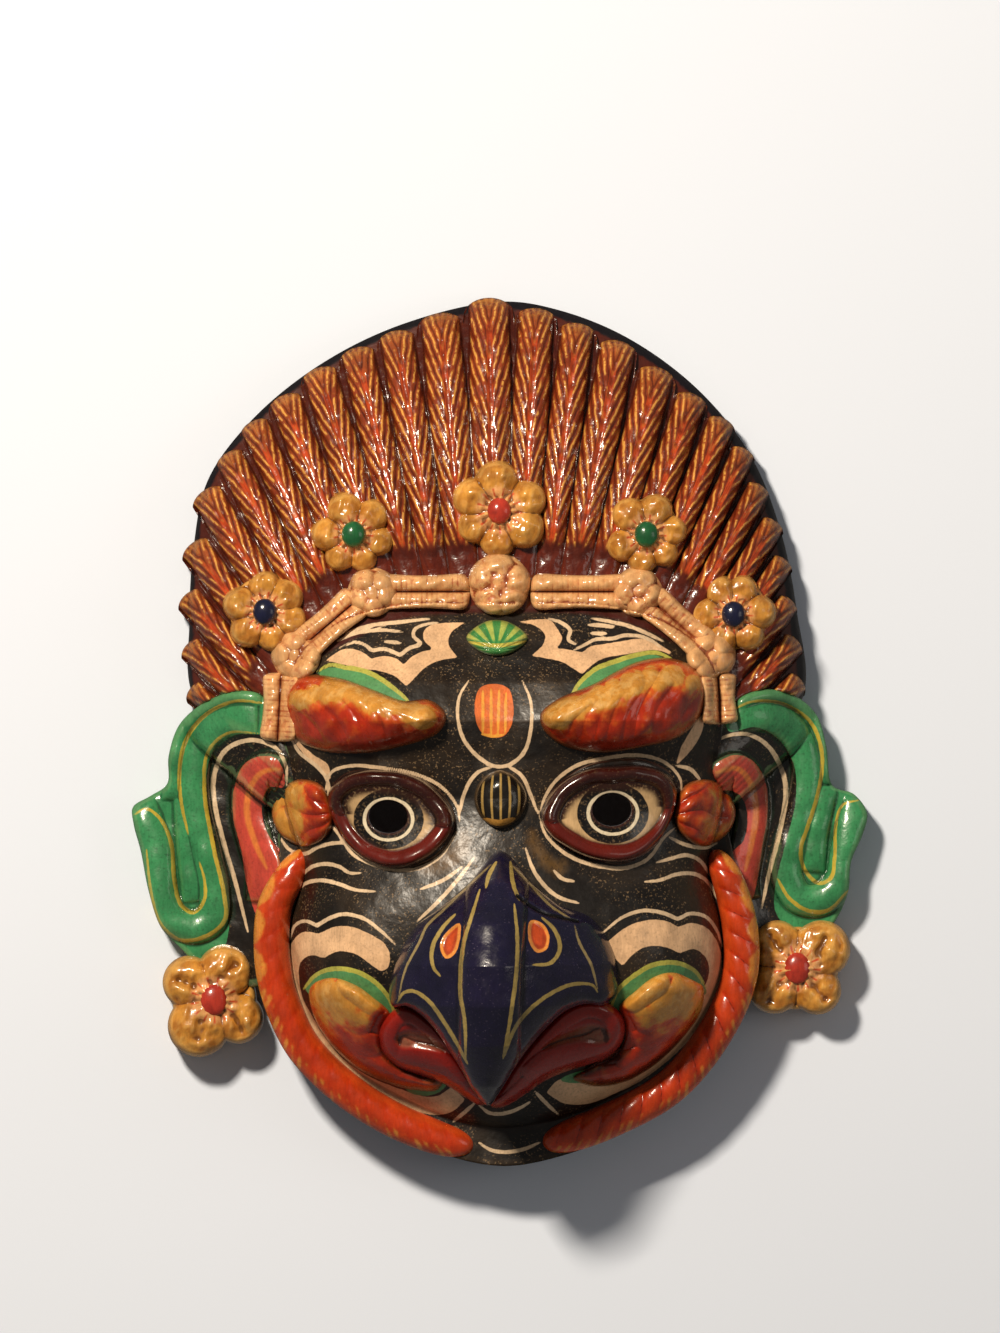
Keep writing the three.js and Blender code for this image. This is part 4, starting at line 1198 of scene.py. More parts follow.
red_bead = bead_paint("red enamel paint", "#b3392a", "#7d1c14")
green_bead = bead_paint("green enamel paint", "#1f5b34", "#0f3520")
navy_bead = bead_paint("navy enamel paint", "#171a35", "#0a0b1a")
crown_beads = (red_bead, green_bead, green_bead, navy_bead, navy_bead)
for number, (middle, bead) in enumerate(zip(CROWN_FLOWERS, crown_beads)):
    size = CROWN_FLOWER_RADII[min(number, 1)]
    turn = math.pi / 6 + 0.4 * number
    name = f"crown_flower_{number}"
    flower(name, middle, crown_top, on_the_hair, size, 11, 6, turn, 0.1, CROWN_BEAD, bead)


def ear_skin(x, y):
    return ear_top(x, y) - 2


def down_to_the_back(x, y, ground):
    return np.full(x.shape, BACK_GAP)


for number, middle in enumerate(EAR_FLOWERS):
    turn = EAR_FLOWER_TURNS[number]
    name = f"ear_flower_{number}"
    flower(name, middle, ear_skin, down_to_the_back, 20, 9, 4, turn, 0.3, EAR_BEAD, red_bead)
print(len(CROWN_FLOWERS), "crown flowers and", len(EAR_FLOWERS), "ear flowers")

# %% [markdown]
# ## Brows, cheeks and lips
# These are flames too: rolls of paste with slanted folds, gold where they rise and deep red where
# they turn under. One paint serves them all. It reads how gilded each point is, and how near the
# form's foot is, where it lays a dark painted shade.

# %% The gold and red relief
BROWS = [
    [
        (-29.3, 4.7), (-27.1, 6.6), (-21.7, 6.4), (-16.9, 5), (-12.9, 3.8), (-9.5, 3.9), (-7.2, 2.2),
        (-8.1, 0.2), (-13.3, -1.5), (-19, -2.3), (-24.7, -1.9), (-28.2, -0.2),
    ],
    [
        (5.4, 2.2), (7.6, 3.9), (12.5, 5.7), (18.3, 8.2), (22.8, 8.7), (26.7, 7.3), (27.9, 4.7),
        (27.1, 2), (24.4, -0.3), (19, -1.6), (13.6, -2.2), (8.7, -1.5), (6, 0.2),
    ],
]
TUFTS = [
    [
        (-23, -7.8), (-24.1, -5.9), (-27.4, -5.3), (-30.1, -6.8), (-31, -9.4), (-29.8, -11.8),
        (-26.8, -13.1), (-23.8, -12.2), (-22.5, -10.1),
    ],
    [
        (23.8, -7.8), (25.2, -5.8), (28.2, -5.3), (30.8, -6.6), (32, -9.1), (30.9, -11.6),
        (27.9, -13.1), (25.2, -12.2), (23.6, -10.1),
    ],
]


def flame_paint(name, gold, red):
    """Red tempera with gold rubbed over the upper folds, under varnish."""
    paint = Paint(name, red)
    paint.mottle("#6e1a0a", 10, 3.0, 0.4, 0.65, 0.45)
    gilt = paint.math("SUBTRACT", paint.read("gilt"), 0.15)
    shaken = paint.math("MULTIPLY_ADD", paint.noise(5, 4.0), 0.8, gilt)
    paint.over(paint.ramp(shaken, 0.62, 0.85), "#bd4a16")
    paint.over(paint.ramp(shaken, 0.78, 1.0), gold)
    bright = paint.both(paint.ramp(shaken, 1.0, 1.3), paint.ramp(paint.noise(3.5), 0.4, 0.6, 0.0, 0.6))
    paint.over(bright, "#d9ab62")
    # painted shade: dark at the foot of each form, where it meets the skin
    paint.coat("foot", "#4a1d0c", edge=2.5, thin=0.3)
    return paint.finish(grooves="#551606", crests="#e09a44", wear_and_highlight=0.12, dirt_and_shade=0.6, rough=0.28)


flame_gold = flame_paint("gold and red tempera under varnish", "#c08434", "#a82a0e")


BROW_CRESTS = [
    [(-27.6, 4.5), (-24.1, 5.4), (-21, 5.7), (-17.6, 4.7), (-14.2, 3.4), (-10.2, 2.4)],
    [(7.3, 2.5), (10.2, 3.4), (13.1, 4.5), (16.4, 5.8), (19.8, 6.7), (23.3, 7.2), (26.6, 6.1)],
]
BROW_FEET = [
    [(-24.7, -1), (-21.7, -1.7), (-18.3, -2), (-14.9, -1.7), (-11.9, -1.2), (-8.9, 0.3)],
    [(6.5, 0.6), (8.9, -1), (12.2, -1.7), (15.6, -1.7), (19, -1.4), (22.4, -0.6), (25.7, 1.3)],
]
BROW_KNOBS = [
    [(-10.3, 2.4), (-13.8, 3.6), (-16.7, 3.9), (-19.5, 5.2), (-22.5, 5.2), (-25.2, 4.7), (-27.4, 3.8)],
    [
        (7.6, 2.4), (10.6, 3.4), (13.3, 4.2), (15.2, 5.4), (17.9, 5.9), (20.3, 6.8), (23.3, 6.7),
        (26, 5.9),
    ],
]
BROW_RISE = 10
BROW_FOLDS = 12
KNOB_RADII = (6.5, 3.6, 4.8, 3.4, 5.2, 3.6, 4.4, 3.2)


def fold_lines(crest, foot, count, bow, slant=2):
    """Lines from a crest down to a foot, evenly spaced, each bowed and slanted towards the bow."""
    tops, bottoms = evenly(flowing(crest) / percent, count), evenly(flowing(foot) / percent, count)
    tops, bottoms = (tops[:-slant], bottoms[slant:]) if bow > 0 else (tops[slant:], bottoms[:-slant])
    middles = (tops + bottoms) / 2 + [bow, 0]
    return [[tuple(point) for point in line] for line in zip(tops, middles, bottoms)]


def brow_shape(side):
    random = np.random.default_rng(40 + side)
    lines = fold_lines(BROW_CRESTS[side], BROW_FEET[side], BROW_FOLDS, 1.2 * (1 - 2 * side))
    folds = [(line, random.uniform(3.0, 4.4), random.uniform(1.6, 3.4)) for line in lines]
    knobs = [(*(np.array(p) * percent), r) for p, r in zip(BROW_KNOBS[side], KNOB_RADII)]

    def shape(x, y, inside):
        slanted = ridges(x, y, folds)
        knobbed = balls(x, y, knobs) * 1.15
        crest = 1 - smooth(measured(flowing(BROW_CRESTS[side]), x, y, 14)[0], 0, 12)
        slanted = slanted * (0.7 + 0.3 * crest)
        rolls = higher(slanted, 0.4 * knobbed, 1.0) * smooth(inside, 0, 5)
        rise = BROW_RISE * round_over(inside, 13) + 2.5 * crest + rolls
        rise = rise + 0.7 * lumps(x, y, 11, 9) * smooth(inside, 0, 4)
        gilt = (crest - 0.5) * 1.1 + smooth(knobbed, 0, 2) * 0.35 + (slanted - 1.2) * 0.35
        return rise, {"gilt": gilt * PAINT_SPAN / 2, "foot": 1.0 - inside}

    return shape


for side in (0, 1):
    relief(f"brow_{side}", BROWS[side], face_skin, brow_shape(side), flame_gold, 116)


LOBE_EDGES = [
    [
        (-25.7, -29.2), (-22.9, -28), (-19.4, -28.8), (-17.1, -30.2), (-14.8, -32.1), (-15.7, -33.7),
        (-15.7, -36), (-14.1, -37.8), (-10.8, -39), (-7.6, -40), (-8.4, -41.1), (-11.5, -41.2),
        (-14.9, -40.5), (-19.4, -38.7), (-23.3, -35.6), (-25.5, -32.1),
    ],
    [
        (27.5, -29.1), (26.6, -28.6), (23.4, -27.4), (20.9, -27.8), (18.2, -29.5), (16, -31.4),
        (16.8, -33.2), (16.8, -35.1), (15.4, -37.2), (12.5, -38.3), (9.8, -39.7), (12.5, -40.7),
        (16.8, -40.3), (21.3, -38.1), (24.9, -35.1), (27.4, -31.8),
    ],
]
LOBE_FOLDS = [
    [
        ([(-22, -28.4), (-19.5, -29.1), (-17.3, -30.7), (-16, -32.1)], 5.2, 3.2),
        ([(-24.7, -29.1), (-23, -30.7), (-20.6, -32.5), (-17.3, -33.9)], 5, 3.4),
        ([(-24.9, -31.6), (-22.5, -33.9), (-19.5, -35.5), (-15.7, -36.7)], 4.6, 2.8),
        ([(-22.8, -35.3), (-20.1, -37.2), (-16.5, -38.5), (-13, -39)], 4.2, 2.4),
        ([(-19, -38.3), (-15.4, -39.7), (-11.9, -40.4), (-8.9, -39.7)], 3.6, 2),
    ],
    [
        ([(22.8, -28), (20.3, -28.8), (18.2, -30.2), (16.8, -31.6)], 5.2, 3.2),
        ([(25.7, -28.6), (24.1, -30.4), (21.4, -32.3), (18.2, -33.7)], 5, 3.4),
        ([(27.4, -30), (25.7, -32.3), (22.8, -34.4), (18.4, -36)], 4.6, 2.8),
        ([(25.7, -34.1), (22.8, -36.2), (19, -37.6), (15.7, -38.3)], 4.2, 2.4),
        ([(20.3, -38.1), (17.1, -39.2), (13.6, -39.5)], 3.4, 1.8),
    ],
]


LOBE_RISE = 6
TUFT_RISE = 9
LIP_RISE = 7


def lobe_shape(side):
    def shape(x, y, inside):
        folds = ridges(x, y, [(line, 1.35 * half, tall) for line, half, tall in LOBE_FOLDS[side]])
        rise = LOBE_RISE * round_over(inside, 8) + 0.85 * folds * smooth(inside, 0, 3)
        rise = rise + 0.3 * lumps(x, y, 8, 10)
        top = smooth(y / up, -36.5, -29) * smooth(np.abs(x) / across, 14, 18)
        gilt = top * 1.15 - 0.45 + (folds - 1.9) * 0.25
        # painted shade along the lobe's lower edge
        foot = 2.6 - inside - 4 * smooth(y / up, -38, -32)
        return rise, {"gilt": gilt * PAINT_SPAN / 2, "foot": foot}

    return shape


for side in (0, 1):
    relief(f"cheek_lobe_{side}", LOBE_EDGES[side], face_skin, lobe_shape(side), flame_gold, 96)


def tuft_shape(side):
    lean = 1 if side == 0 else -1

    def shape(x, y, inside):
        middle = np.array(TUFTS[side]).mean(0) * percent
        outside = -(x - middle[0]) * lean
        turn = np.arctan2(y - middle[1], -outside - 14)
        folds = np.abs(np.sin(turn * 5.0 + 0.7 * lumps(x, y, 16, 18 + side)))
        rise = TUFT_RISE * round_over(inside, 9) + (folds**0.7 - 0.5) * 1.4 * smooth(inside, 0.5, 4)
        rise = rise + 0.5 * lumps(x, y, 7, 19) * smooth(inside, 0.5, 4)
        gilt = smooth(outside, -4, 4) * (0.95 - 0.55 * side) - 0.3 + (folds - 0.5) * 0.3
        return rise, {"gilt": gilt * PAINT_SPAN / 2, "foot": 1.0 - inside}

    return shape


for side in (0, 1):
    relief(f"temple_tuft_{side}", TUFTS[side], face_skin, tuft_shape(side), flame_gold, 70)


LIP_EDGES = [
    [
        (-12.6, -31), (-14.9, -32.1), (-16.3, -34.1), (-16, -36.5), (-14.1, -38.3), (-10.8, -39.4),
        (-7.3, -40.5), (-4.6, -42), (-2.6, -42.9), (-1.4, -42.5), (-3, -40.4), (-5.1, -37.4),
        (-7, -34.8), (-9.5, -32.5),
    ],
    [
        (-1.4, -42.9), (0, -40.6), (1.9, -37.8), (4.1, -35.3), (6.5, -33), (8.9, -31.2), (11.4, -30.4),
        (14.1, -30.7), (16.3, -32.1), (16.9, -33.9), (16.3, -35.8), (14.4, -37.3), (11.9, -38.1),
        (9.2, -38.8), (6.2, -39.9), (3.8, -41.3), (1.4, -42.7), (-0.5, -43.2),
    ],
]


def lip_paint():
    """Vermilion tempera, deep red under its varnish, with a flesh-coloured patch in the mouth."""
    paint = Paint("vermilion tempera under varnish", "#951a10")
    paint.mottle("#70120b", 9, 3.0, 0.35, 0.65, 0.5)
    paint.coat("flesh", "#8c543e", edge=2.5, thin=0.3)
    return paint.finish(grooves="#350906", crests="#bb3520", wear_and_highlight=0.12, dirt_and_shade=0.8, rough=0.26)


LIP_ROLLS = [
    [
        (-2.2, -42), (-4.1, -39.8), (-5.7, -37.6), (-7.3, -35.3), (-9.5, -33.2), (-11.9, -31.9),
        (-14.1, -32.4), (-15.3, -34.1), (-15, -36.2), (-13.3, -37.8), (-10.3, -38.7), (-7.3, -39.7),
        (-4.9, -41.2), (-2.2, -42.5),
    ],
    [
        (-0.4, -41.3), (1.8, -38.5), (4.1, -36), (6.5, -33.8), (8.9, -32.3), (11.7, -31.2),
        (14.1, -31.6), (15.7, -33.2), (15.7, -35.1), (14.1, -36.5), (11.7, -37.2), (8.9, -38),
        (6.2, -39.1), (3.5, -40.6), (1.1, -42), (-0.5, -42.6),
    ],
]
LOWER_LIP_ROLLS = [
    [(-13.8, -36.2), (-11.9, -36.9), (-9.2, -37.4), (-6.5, -38.5), (-4.1, -40.6)],
    [(14.4, -35.1), (12.2, -36), (8.9, -36.7), (6, -37.8), (3.3, -39.7)],
]
MOUTH_FLESH = [
    [
        (-14, -35.1), (-13, -34.3), (-11.1, -34.3), (-9.2, -34.8), (-7.3, -36.3), (-9.3, -36.1),
        (-11.7, -35.9), (-13.3, -35.9),
    ],
    [
        (5.8, -36.1), (7.9, -34.8), (10, -34), (12.2, -33.4), (14, -33.8), (14.8, -35), (13.6, -35.5),
        (11.2, -35.2), (8.7, -35.5),
    ],
]


def lip_shape(side):
    def shape(x, y, inside):
        rolls = ridges(x, y, [(LIP_ROLLS[side], 4.5, 1.4), (LOWER_LIP_ROLLS[side], 5.5, 2.6)])
        flesh = filled(x, y, [MOUTH_FLESH[side]])
        rise = LIP_RISE * round_over(inside, 9) + rolls * smooth(inside, 0, 3)
        rise = rise + 1.5 - 1.6 * smooth(flesh, -1.5, 1.5)
        return rise, {"flesh": flesh}

    return shape


def lip_skin(x, y):
    return face_top(x, y) + 1


vermilion = lip_paint()
for side in (0, 1):
    relief(f"lip_{side}", LIP_EDGES[side], lip_skin, lip_shape(side), vermilion, 96)
print("brows, cheeks, tufts and lips are on")

# %% [markdown]
# ## The beak
# The beak is the highest form: a round ridge that hooks down over the mouth, with flanks that fall
# away to both sides. It is painted a blue so dark that it looks black beside the gold lines. A
# crack runs across its right flank near the top, as it does on the real mask.

# %% The beak
BEAK_RIDGE = [
    (-43.5, -1.8, 62), (-40.2, -1.6, 78), (-35.5, -1.4, 91), (-30.9, -1.3, 98.5), (-26.3, -1.1, 100),
    (-21.6, -0.7, 94), (-17, -0.3, 82), (-13.3, 0, 69),
]
BEAK_EDGE = [
    (0, -13.3), (4.1, -16.8), (8.1, -19.6), (12.2, -20.9), (14.9, -23.7), (15.9, -26.9), (15.9, -29.7),
    (14.1, -31.1), (11.4, -30.9), (8.9, -31.6), (6.5, -33.3), (4.1, -35.6), (1.9, -38.2), (0, -40.9),
    (-1.6, -42.7), (-3.5, -40.9), (-5.1, -38.5), (-6.8, -36.2), (-8.4, -34.1), (-10.6, -32.1),
    (-12.7, -31.1), (-14.4, -31.2), (-14.9, -29.3), (-13.8, -25.8), (-11.5, -22.2), (-8.1, -19.9),
    (-4.1, -17),
]
BEAK_RIDGE_HALF = 3.6
BEAK_ROUND = 7
BEAK_FLANK = 24
BEAK_LINES = [
    [(-2.7, -17.7), (-3.5, -19.9), (-4.9, -24), (-5.3, -29.2), (-4.7, -32.6), (-4.6, -36.9)],
    [(1.9, -19.3), (2.3, -22.8), (2.2, -26.9), (1.6, -30.9), (1.2, -33.2), (0.4, -36.7)],
    [(-0.5, -14.6), (-1.5, -16.1), (-1.9, -17.5)], [(1.4, -14.6), (1.8, -17.2), (2.6, -18.9)],
    [
        (-13.8, -30.7), (-12.9, -29.5), (-11.5, -29.3), (-9.5, -30.4), (-7.3, -33), (-5.7, -35.3),
        (-4.3, -37.6),
    ],
    [(13.1, -29.5), (12.5, -28.7), (9.8, -28.5), (6.8, -29.5), (4.1, -31.2), (2, -33.4), (0.4, -36.9)],
    [(-6, -20.5), (-7.9, -22.3), (-9.1, -24.5), (-8.9, -26.5), (-8, -27.5)],
    [(5.6, -20.9), (7.3, -22.3), (8, -24.4), (6.8, -26), (4.3, -26.2)],
]
BEAK_THIN_LINES = [
    [
        (-1.2, -14.9), (-4.1, -17.2), (-7.5, -20), (-9.8, -21.9), (-10.8, -23.7), (-12.7, -26.9),
        (-13.6, -30),
    ],
    [(1.5, -14.9), (4.1, -17.2), (6.8, -19.6), (9.9, -21.3)],
    [(10, -21.8), (10.6, -23.7), (12.2, -26.3), (13.1, -29.2)],
]
NOSTRILS = [
    [(-5.4, -21.5), (-5.3, -23), (-6, -24.9), (-7.2, -25.5), (-8, -24.4), (-7.6, -23)],
    [(4.1, -21.2), (5.6, -21.5), (6.6, -22.9), (6.2, -24.5), (4.9, -24.8), (3.8, -23.3)],
]
BEAK_CRACK = [(2.3, -18.4), (4.1, -19.6), (6.1, -20.5), (8.1, -20.9), (10.4, -21.4)]


def beak_place_height(x, y, share):
    ridge_x, ridge_z = between(BEAK_RIDGE, y / up)
    off = np.abs(x / across - ridge_x)
    ridge = BEAK_ROUND * dome(off / (BEAK_RIDGE_HALF * 1.15))
    flank = ridge_z - BEAK_ROUND - BEAK_FLANK * (np.maximum(off - BEAK_RIDGE_HALF, 0) / 12) ** 1.2
    return np.maximum((flank + ridge - 5 * share**8) * deep, face_top(x, y) + 1)


def beak_shape(x, y, inside):
    share = 1 - np.minimum(inside / 30, 1)
    z = beak_place_height(x, y, share) - 5 * (1 - round_over(inside, 3))
    holes = filled(x, y, NOSTRILS)
    z = z - 1.6 * smooth(holes, -0.5, 2.0)
    crack = measured(flowing(BEAK_CRACK), x, y)[0]
    z = z - 1.5 * smooth(crack, 1.1, 0.1) + 0.9 * smooth(crack, 3.5, 1.0)
    z = z + 0.25 * lumps(x, y, 14, 11)
    painted = {
        "gold": brushed(x, y, BEAK_LINES, 1.6),
        "thin": brushed(x, y, BEAK_THIN_LINES, 1.0),
        "nostril": holes,
        "cracked": 0.7 - crack,
    }
    return z - face_top(x, y) + 0.5, painted


def beak_paint():
    """Indigo tempera, nearly black, with lines in yellow ochre."""
    paint = Paint("indigo tempera under varnish", "#14122a")
    paint.mottle("#1b1533", 15, 3.0, 0.4, 0.65, 0.5)
    paint.specks(1.0, 0.36, "#5b5166", 0.4)
    paint.coat("thin", "#8f7d52")
    paint.coat("gold", "#a08a4c")
    paint.coat("nostril", "#d98a3c")
    inner = paint.ramp(paint.read("nostril"), 0.5 + 0.9 / PAINT_SPAN, 0.5 + 1.5 / PAINT_SPAN)
    paint.over(inner, "#c24a20")
    paint.coat("cracked", "#07060a")
    return paint.finish(grooves="#050409", crests="#2e2844", wear_and_highlight=0.06, dirt_and_shade=0.4, rough=0.24)


relief("beak", BEAK_EDGE, face_top, beak_shape, beak_paint(), 170)
print("the beak rises to", round(max(row[2] for row in BEAK_RIDGE) * deep), "mm")

# %% [markdown]
# ## Jewel and boss
# A green fluted jewel sits at the hair line, and a black boss with gold stripes between the eyes.

# %% Jewel and boss
JEWEL = [
    (-4.6, 11), (-2.7, 12.6), (-0.5, 13.1), (1.8, 12.6), (3.8, 11), (1.9, 9.4), (-0.5, 8.9),
    (-2.8, 9.4),
]
BOSS = [
    (0, -4.1), (2.4, -5.1), (3.7, -7.3), (2.7, -9.6), (0, -10.9), (-2.6, -9.6), (-3.5, -7.3),
    (-2.4, -5.1),
]


def jewel_shape(x, y, inside):
    middle = np.array(JEWEL).mean(0) * percent
    turn = np.arctan2(y - middle[1] + 5, (x - middle[0]) * 0.62)
    flutes = np.abs(np.cos(turn * 9))
    return 7 * round_over(inside, 6) + 0.5 * flutes * smooth(inside, 0, 2), {
        "flute": np.minimum((flutes - 0.75) * 6, y - middle[1] + 1),
        "waist": brushed(x, y, [[(-4.3, 10.5), (-0.5, 10.1), (3.7, 10.6)]], 1.6),
    }


def jewel_paint():
    paint = Paint("green tempera under varnish", "#3a8547")
    paint.coat("flute", "#a3b256", edge=1.6)
    paint.coat("waist", "#b9b04a")
    return paint.finish(dirt_and_shade=0.5, wear_and_highlight=0.2, rough=0.25)


def boss_shape(x, y, inside):
    level = np.clip((y / up + 7.4) / 3.9, -0.93, 0.93)
    stripes = np.cos(FULL_TURN * (x / across - 0.1) / 1.25 / (1 - 0.35 * level**2))
    return 9 * round_over(inside, 8), {
        "stripe": np.minimum((stripes - 0.68) * 2.2, inside - 1.5),
        "bar": brushed(x, y, [[(-2.3, -9.8), (0.0, -10.2), (1.9, -9.7)]], 2.4),
    }


def boss_paint():
    paint = Paint("black tempera with gold under varnish", "#15110d")
    paint.coat("stripe", "#a3854a", edge=0.8)
    paint.coat("bar", "#b8853c")
    return paint.finish(dirt_and_shade=0.3, wear_and_highlight=0.1, rough=0.25)


relief("forehead_jewel", JEWEL, face_top, jewel_shape, jewel_paint(), 70)
relief("bridge_boss", BOSS, face_top, boss_shape, boss_paint(), 70)
print("jewel and boss are on")

# %% [markdown]
# ## The eyes
# Each eye is a ball inside two heavy lids, and its pupil is a hole that the dancer looks through. A
# profile from the hole over the ball and the lids and back underneath is spun into a closed ring,
# and the ring is then stretched to the eye's outline.

# %% The eyes
EYES = [
    [
        (-23.6, -6.6), (-21, -4.1), (-16.3, -3.8), (-10.8, -4.6), (-7, -6.9), (-5.4, -10.1),
        (-7.3, -13.7), (-10.8, -15.5), (-14.9, -15.9), (-19.2, -14.4), (-22.5, -11.1),
    ],
    [
        (4.9, -9.1), (6.5, -6.4), (10.6, -3.5), (14.9, -2.5), (19.6, -2.5), (23.3, -4.1), (24.4, -6.6),
        (22.8, -11.3), (19.6, -14.4), (16, -15.5), (12.2, -14.8), (8.1, -13.1), (5.8, -11.2),
    ],
]
PUPIL_SPACING = 87.3
PUPIL_WIDTH = 15.4
PUPIL_HEIGHT = 13.2
PUPIL_LEVELS = (-9.5, -8.7)
EYE_ROWS = 60
EYE_STEPS = 180
HOLE_DEPTH = 9
EYE_INSET = 1.4


def eye_body():
    """A closed profile, spun: out along the top, then down and back underneath."""
    body = bmesh.new()
    profile = [(1 + i / EYE_ROWS, 0) for i in range(EYE_ROWS + 1)] + [(2, 1), (1.5, 1), (1, 1)]
    points = [body.verts.new((radius, 0, -level)) for radius, level in profile]
    edges = [body.edges.new(pair) for pair in zip(points, points[1:] + points[:1])]
    bmesh.ops.spin(
        body, geom=points + edges, cent=(0, 0, 0), axis=(0, 0, 1), dvec=(0, 0, 0), angle=FULL_TURN,
        steps=EYE_STEPS, use_merge=True,
    )
    bmesh.ops.remove_doubles(body, verts=body.verts, dist=1e-6)
    bmesh.ops.recalc_face_normals(body, faces=body.faces)
    return body


IRIS_CENTRES = [(-15, -9.8), (15.2, -9.1)]
RING_SIZES = ((24.0, 20.5), (24.5, 20.8))
EYE_OPENINGS = [
    [
        (-21.3, -7.9), (-20.1, -6.7), (-17.6, -6.1), (-14.2, -6.2), (-11.5, -7.1), (-9.8, -8.3),
        (-8.5, -10), (-10, -11.8), (-12.5, -13.1), (-14.9, -13.4), (-17.6, -12.6), (-19.8, -10.9),
        (-20.9, -9.1),
    ],
    [
        (7.9, -9.7), (8.7, -8.1), (10.2, -6.8), (12.7, -5.9), (15.9, -5.7), (19.4, -5.7), (21.4, -6.5),
        (22.1, -8.6), (21.3, -10.1), (19.4, -11.7), (17.1, -12.6), (14.6, -12.7), (11.9, -12.2),
        (9.8, -11.2), (8.5, -10.5),
    ],
]
LID_WIDTH = 6.6
LID_RISES = (6.0, 7.0)  # lower, upper
BALL_RISE = 7.5
PIXEL = 0.3935  # mm on the mask for one pixel of the photograph


def place_eye(side):
    sign = 2 * side - 1
    hole = np.array([sign * PUPIL_SPACING / 2, PUPIL_LEVELS[side] * up])
    outline = Outline(flowing(EYES[side], closed=True), hole)
    iris = np.array(IRIS_CENTRES[side]) * percent
    ring = np.array(RING_SIZES[side]) * PIXEL

    opening = flowing(EYE_OPENINGS[side], closed=True)

    def place(column, row, level):
        radius = np.hypot(column, row)
        angle = np.arctan2(row, column)
        share = np.clip(radius - 1, 0, 1)
        inner = 1 / np.hypot(np.cos(angle) / (PUPIL_WIDTH / 2), np.sin(angle) / (PUPIL_HEIGHT / 2))
        outer = outline.reach(angle) - EYE_INSET
        reach = inner + share * (outer - inner)
        x, y = around(hole, reach, angle)
        gap, _, within = measured(opening, x, y, 16)
        outward = np.where(within, -gap, gap)
        base = face_skin(x, y)
        ball = base + 2 + BALL_RISE * np.sqrt(np.clip(1 - (reach / outer) ** 2.2, 0, 1))
        roll = dome((outward - LID_WIDTH * 0.42) / (LID_WIDTH * 0.58))
        lower = y < iris[1] + 0.12 * (x - iris[0]) * sign
        lid = base + 3.0 + np.where(lower, *LID_RISES) * roll + 0.3 * lumps(x, y, 9, 17)
        z = np.where(outward < -1, ball, higher(lid, np.where(outward < 1, ball, base - 0.5), 0.8))
        z = z - 4.0 * (1 - round_over((1 - share) * 14, 3.0))
        away = np.hypot((x - iris[0]) / ring[0], (y - iris[1]) / ring[1])
        painted = {
            "iris": (1.45 - away) * ring.mean(),
            "ring": np.minimum(0.65 - np.abs(away - 1) * ring.mean(), -outward),
            "lid": outward,
            "lower": np.where(lower, 3.0, -3.0),
            "outer": outward - LID_WIDTH,
            "shade": np.where(lower, 0.6, 2.6) + outward,
        }
        under = np.where(share > 0.6, base - BEDDING, base - HOLE_DEPTH)
        return x, y, np.where(level > 0, under, z), painted

    return place


def eye_paint():
    """A cream ball painted darker as shade, with a black iris and a white ring and painted shade under the
    lids, in dark red lids, the lower one brighter.
    """
    # painted shade: the ball's cream is laid on darker, as tan
    paint = Paint("eye colours under varnish", "#bb9b70")
    paint.coat("iris", "#100d0b")
    paint.coat("ring", "#d9cbae")
    paint.coat("shade", "#2c150c", edge=3.0, thin=0.2)
    paint.coat("lid", "#32100b", edge=0.8)
    lower, lid = (paint.ramp(paint.read(name), 0.4, 0.6) for name in ("lower", "lid"))
    paint.over(paint.both(lower, lid), "#5c1810")
    paint.coat("outer", "#16100c", edge=1.0)
    return paint.finish(grooves="#140806", crests="#94402a", wear_and_highlight=0.08, dirt_and_shade=0.8, rough=0.24, lumpy=0.15)


eye_colours = eye_paint()
for side in (0, 1):
    moulded(f"eye_{side}", eye_body(), place_eye(side), eye_colours, 10)


def pierce(piece, oversize=0.6):
    """Cuts both pupils through a piece, a little wider than the eye's own tube."""
    cutter = bmesh.new()
    for side, level in enumerate(PUPIL_LEVELS):
        made = bmesh.ops.create_cone(
            cutter, cap_ends=True, segments=64, radius1=0.5, radius2=0.5, depth=300 * MM,
        )["verts"]
        wide, tall = (PUPIL_WIDTH + oversize) * MM, (PUPIL_HEIGHT + oversize) * MM
        bmesh.ops.scale(cutter, verts=made, vec=(wide, tall, 1))
        spot = ((side - 0.5) * PUPIL_SPACING * MM, level * up * MM, 0)
        bmesh.ops.translate(cutter, verts=made, vec=spot)
    mesh = bpy.data.meshes.new("pupils")
    cutter.to_mesh(mesh)
    cutter.free()
    tool = bpy.data.objects.new("pupils", mesh)
    bpy.context.scene.collection.objects.link(tool)
    cut = piece.modifiers.new("pupils", "BOOLEAN")
    cut.operation, cut.solver, cut.object = "DIFFERENCE", "MANIFOLD", tool
    done = bpy.data.meshes.new_from_object(piece.evaluated_get(bpy.context.evaluated_depsgraph_get()))
    piece.modifiers.clear()
    piece.data = done
    bpy.data.objects.remove(tool)


before = len(shell.data.polygons), len(skin.data.polygons)
for piece in (shell, skin):
    pierce(piece)
print("pierced: faces", before, "became", (len(shell.data.polygons), len(skin.data.polygons)))
print("the pupils are", PUPIL_SPACING, "mm apart")

# %% [markdown]
# ## The beard band
# A rope of short beard hair runs round the jaw: orange-red, twisted, with gold dabs along its outer
# edge.

# %% The beard band
RUFFS = [
    [
        (-26.3, -13.5), (-28.6, -16.6), (-30.5, -19.9), (-31, -24), (-30.6, -28), (-29.3, -31.8),
        (-26.7, -36.2), (-21.7, -40.6), (-15.2, -44.3), (-8.9, -46.6), (-3.5, -47.9),
    ],
    [
        (28.9, -13.5), (31, -17.2), (32.5, -22.2), (32.7, -26.9), (31.3, -31.2), (27.1, -37.2),
        (22.4, -41.3), (16, -44.3), (10.2, -46.3), (5.7, -47.5),
    ],
]
RUFF_WIDTH = 13
RUFF_CELLS = (24, 280)
RUFF_RISE = 8
TWIST_PITCH = 9.0


def ruff_skin(x, y):
    return FACE_RIM + 4 * (1 - smooth(-y, 15 * up, 45 * up)) - 2


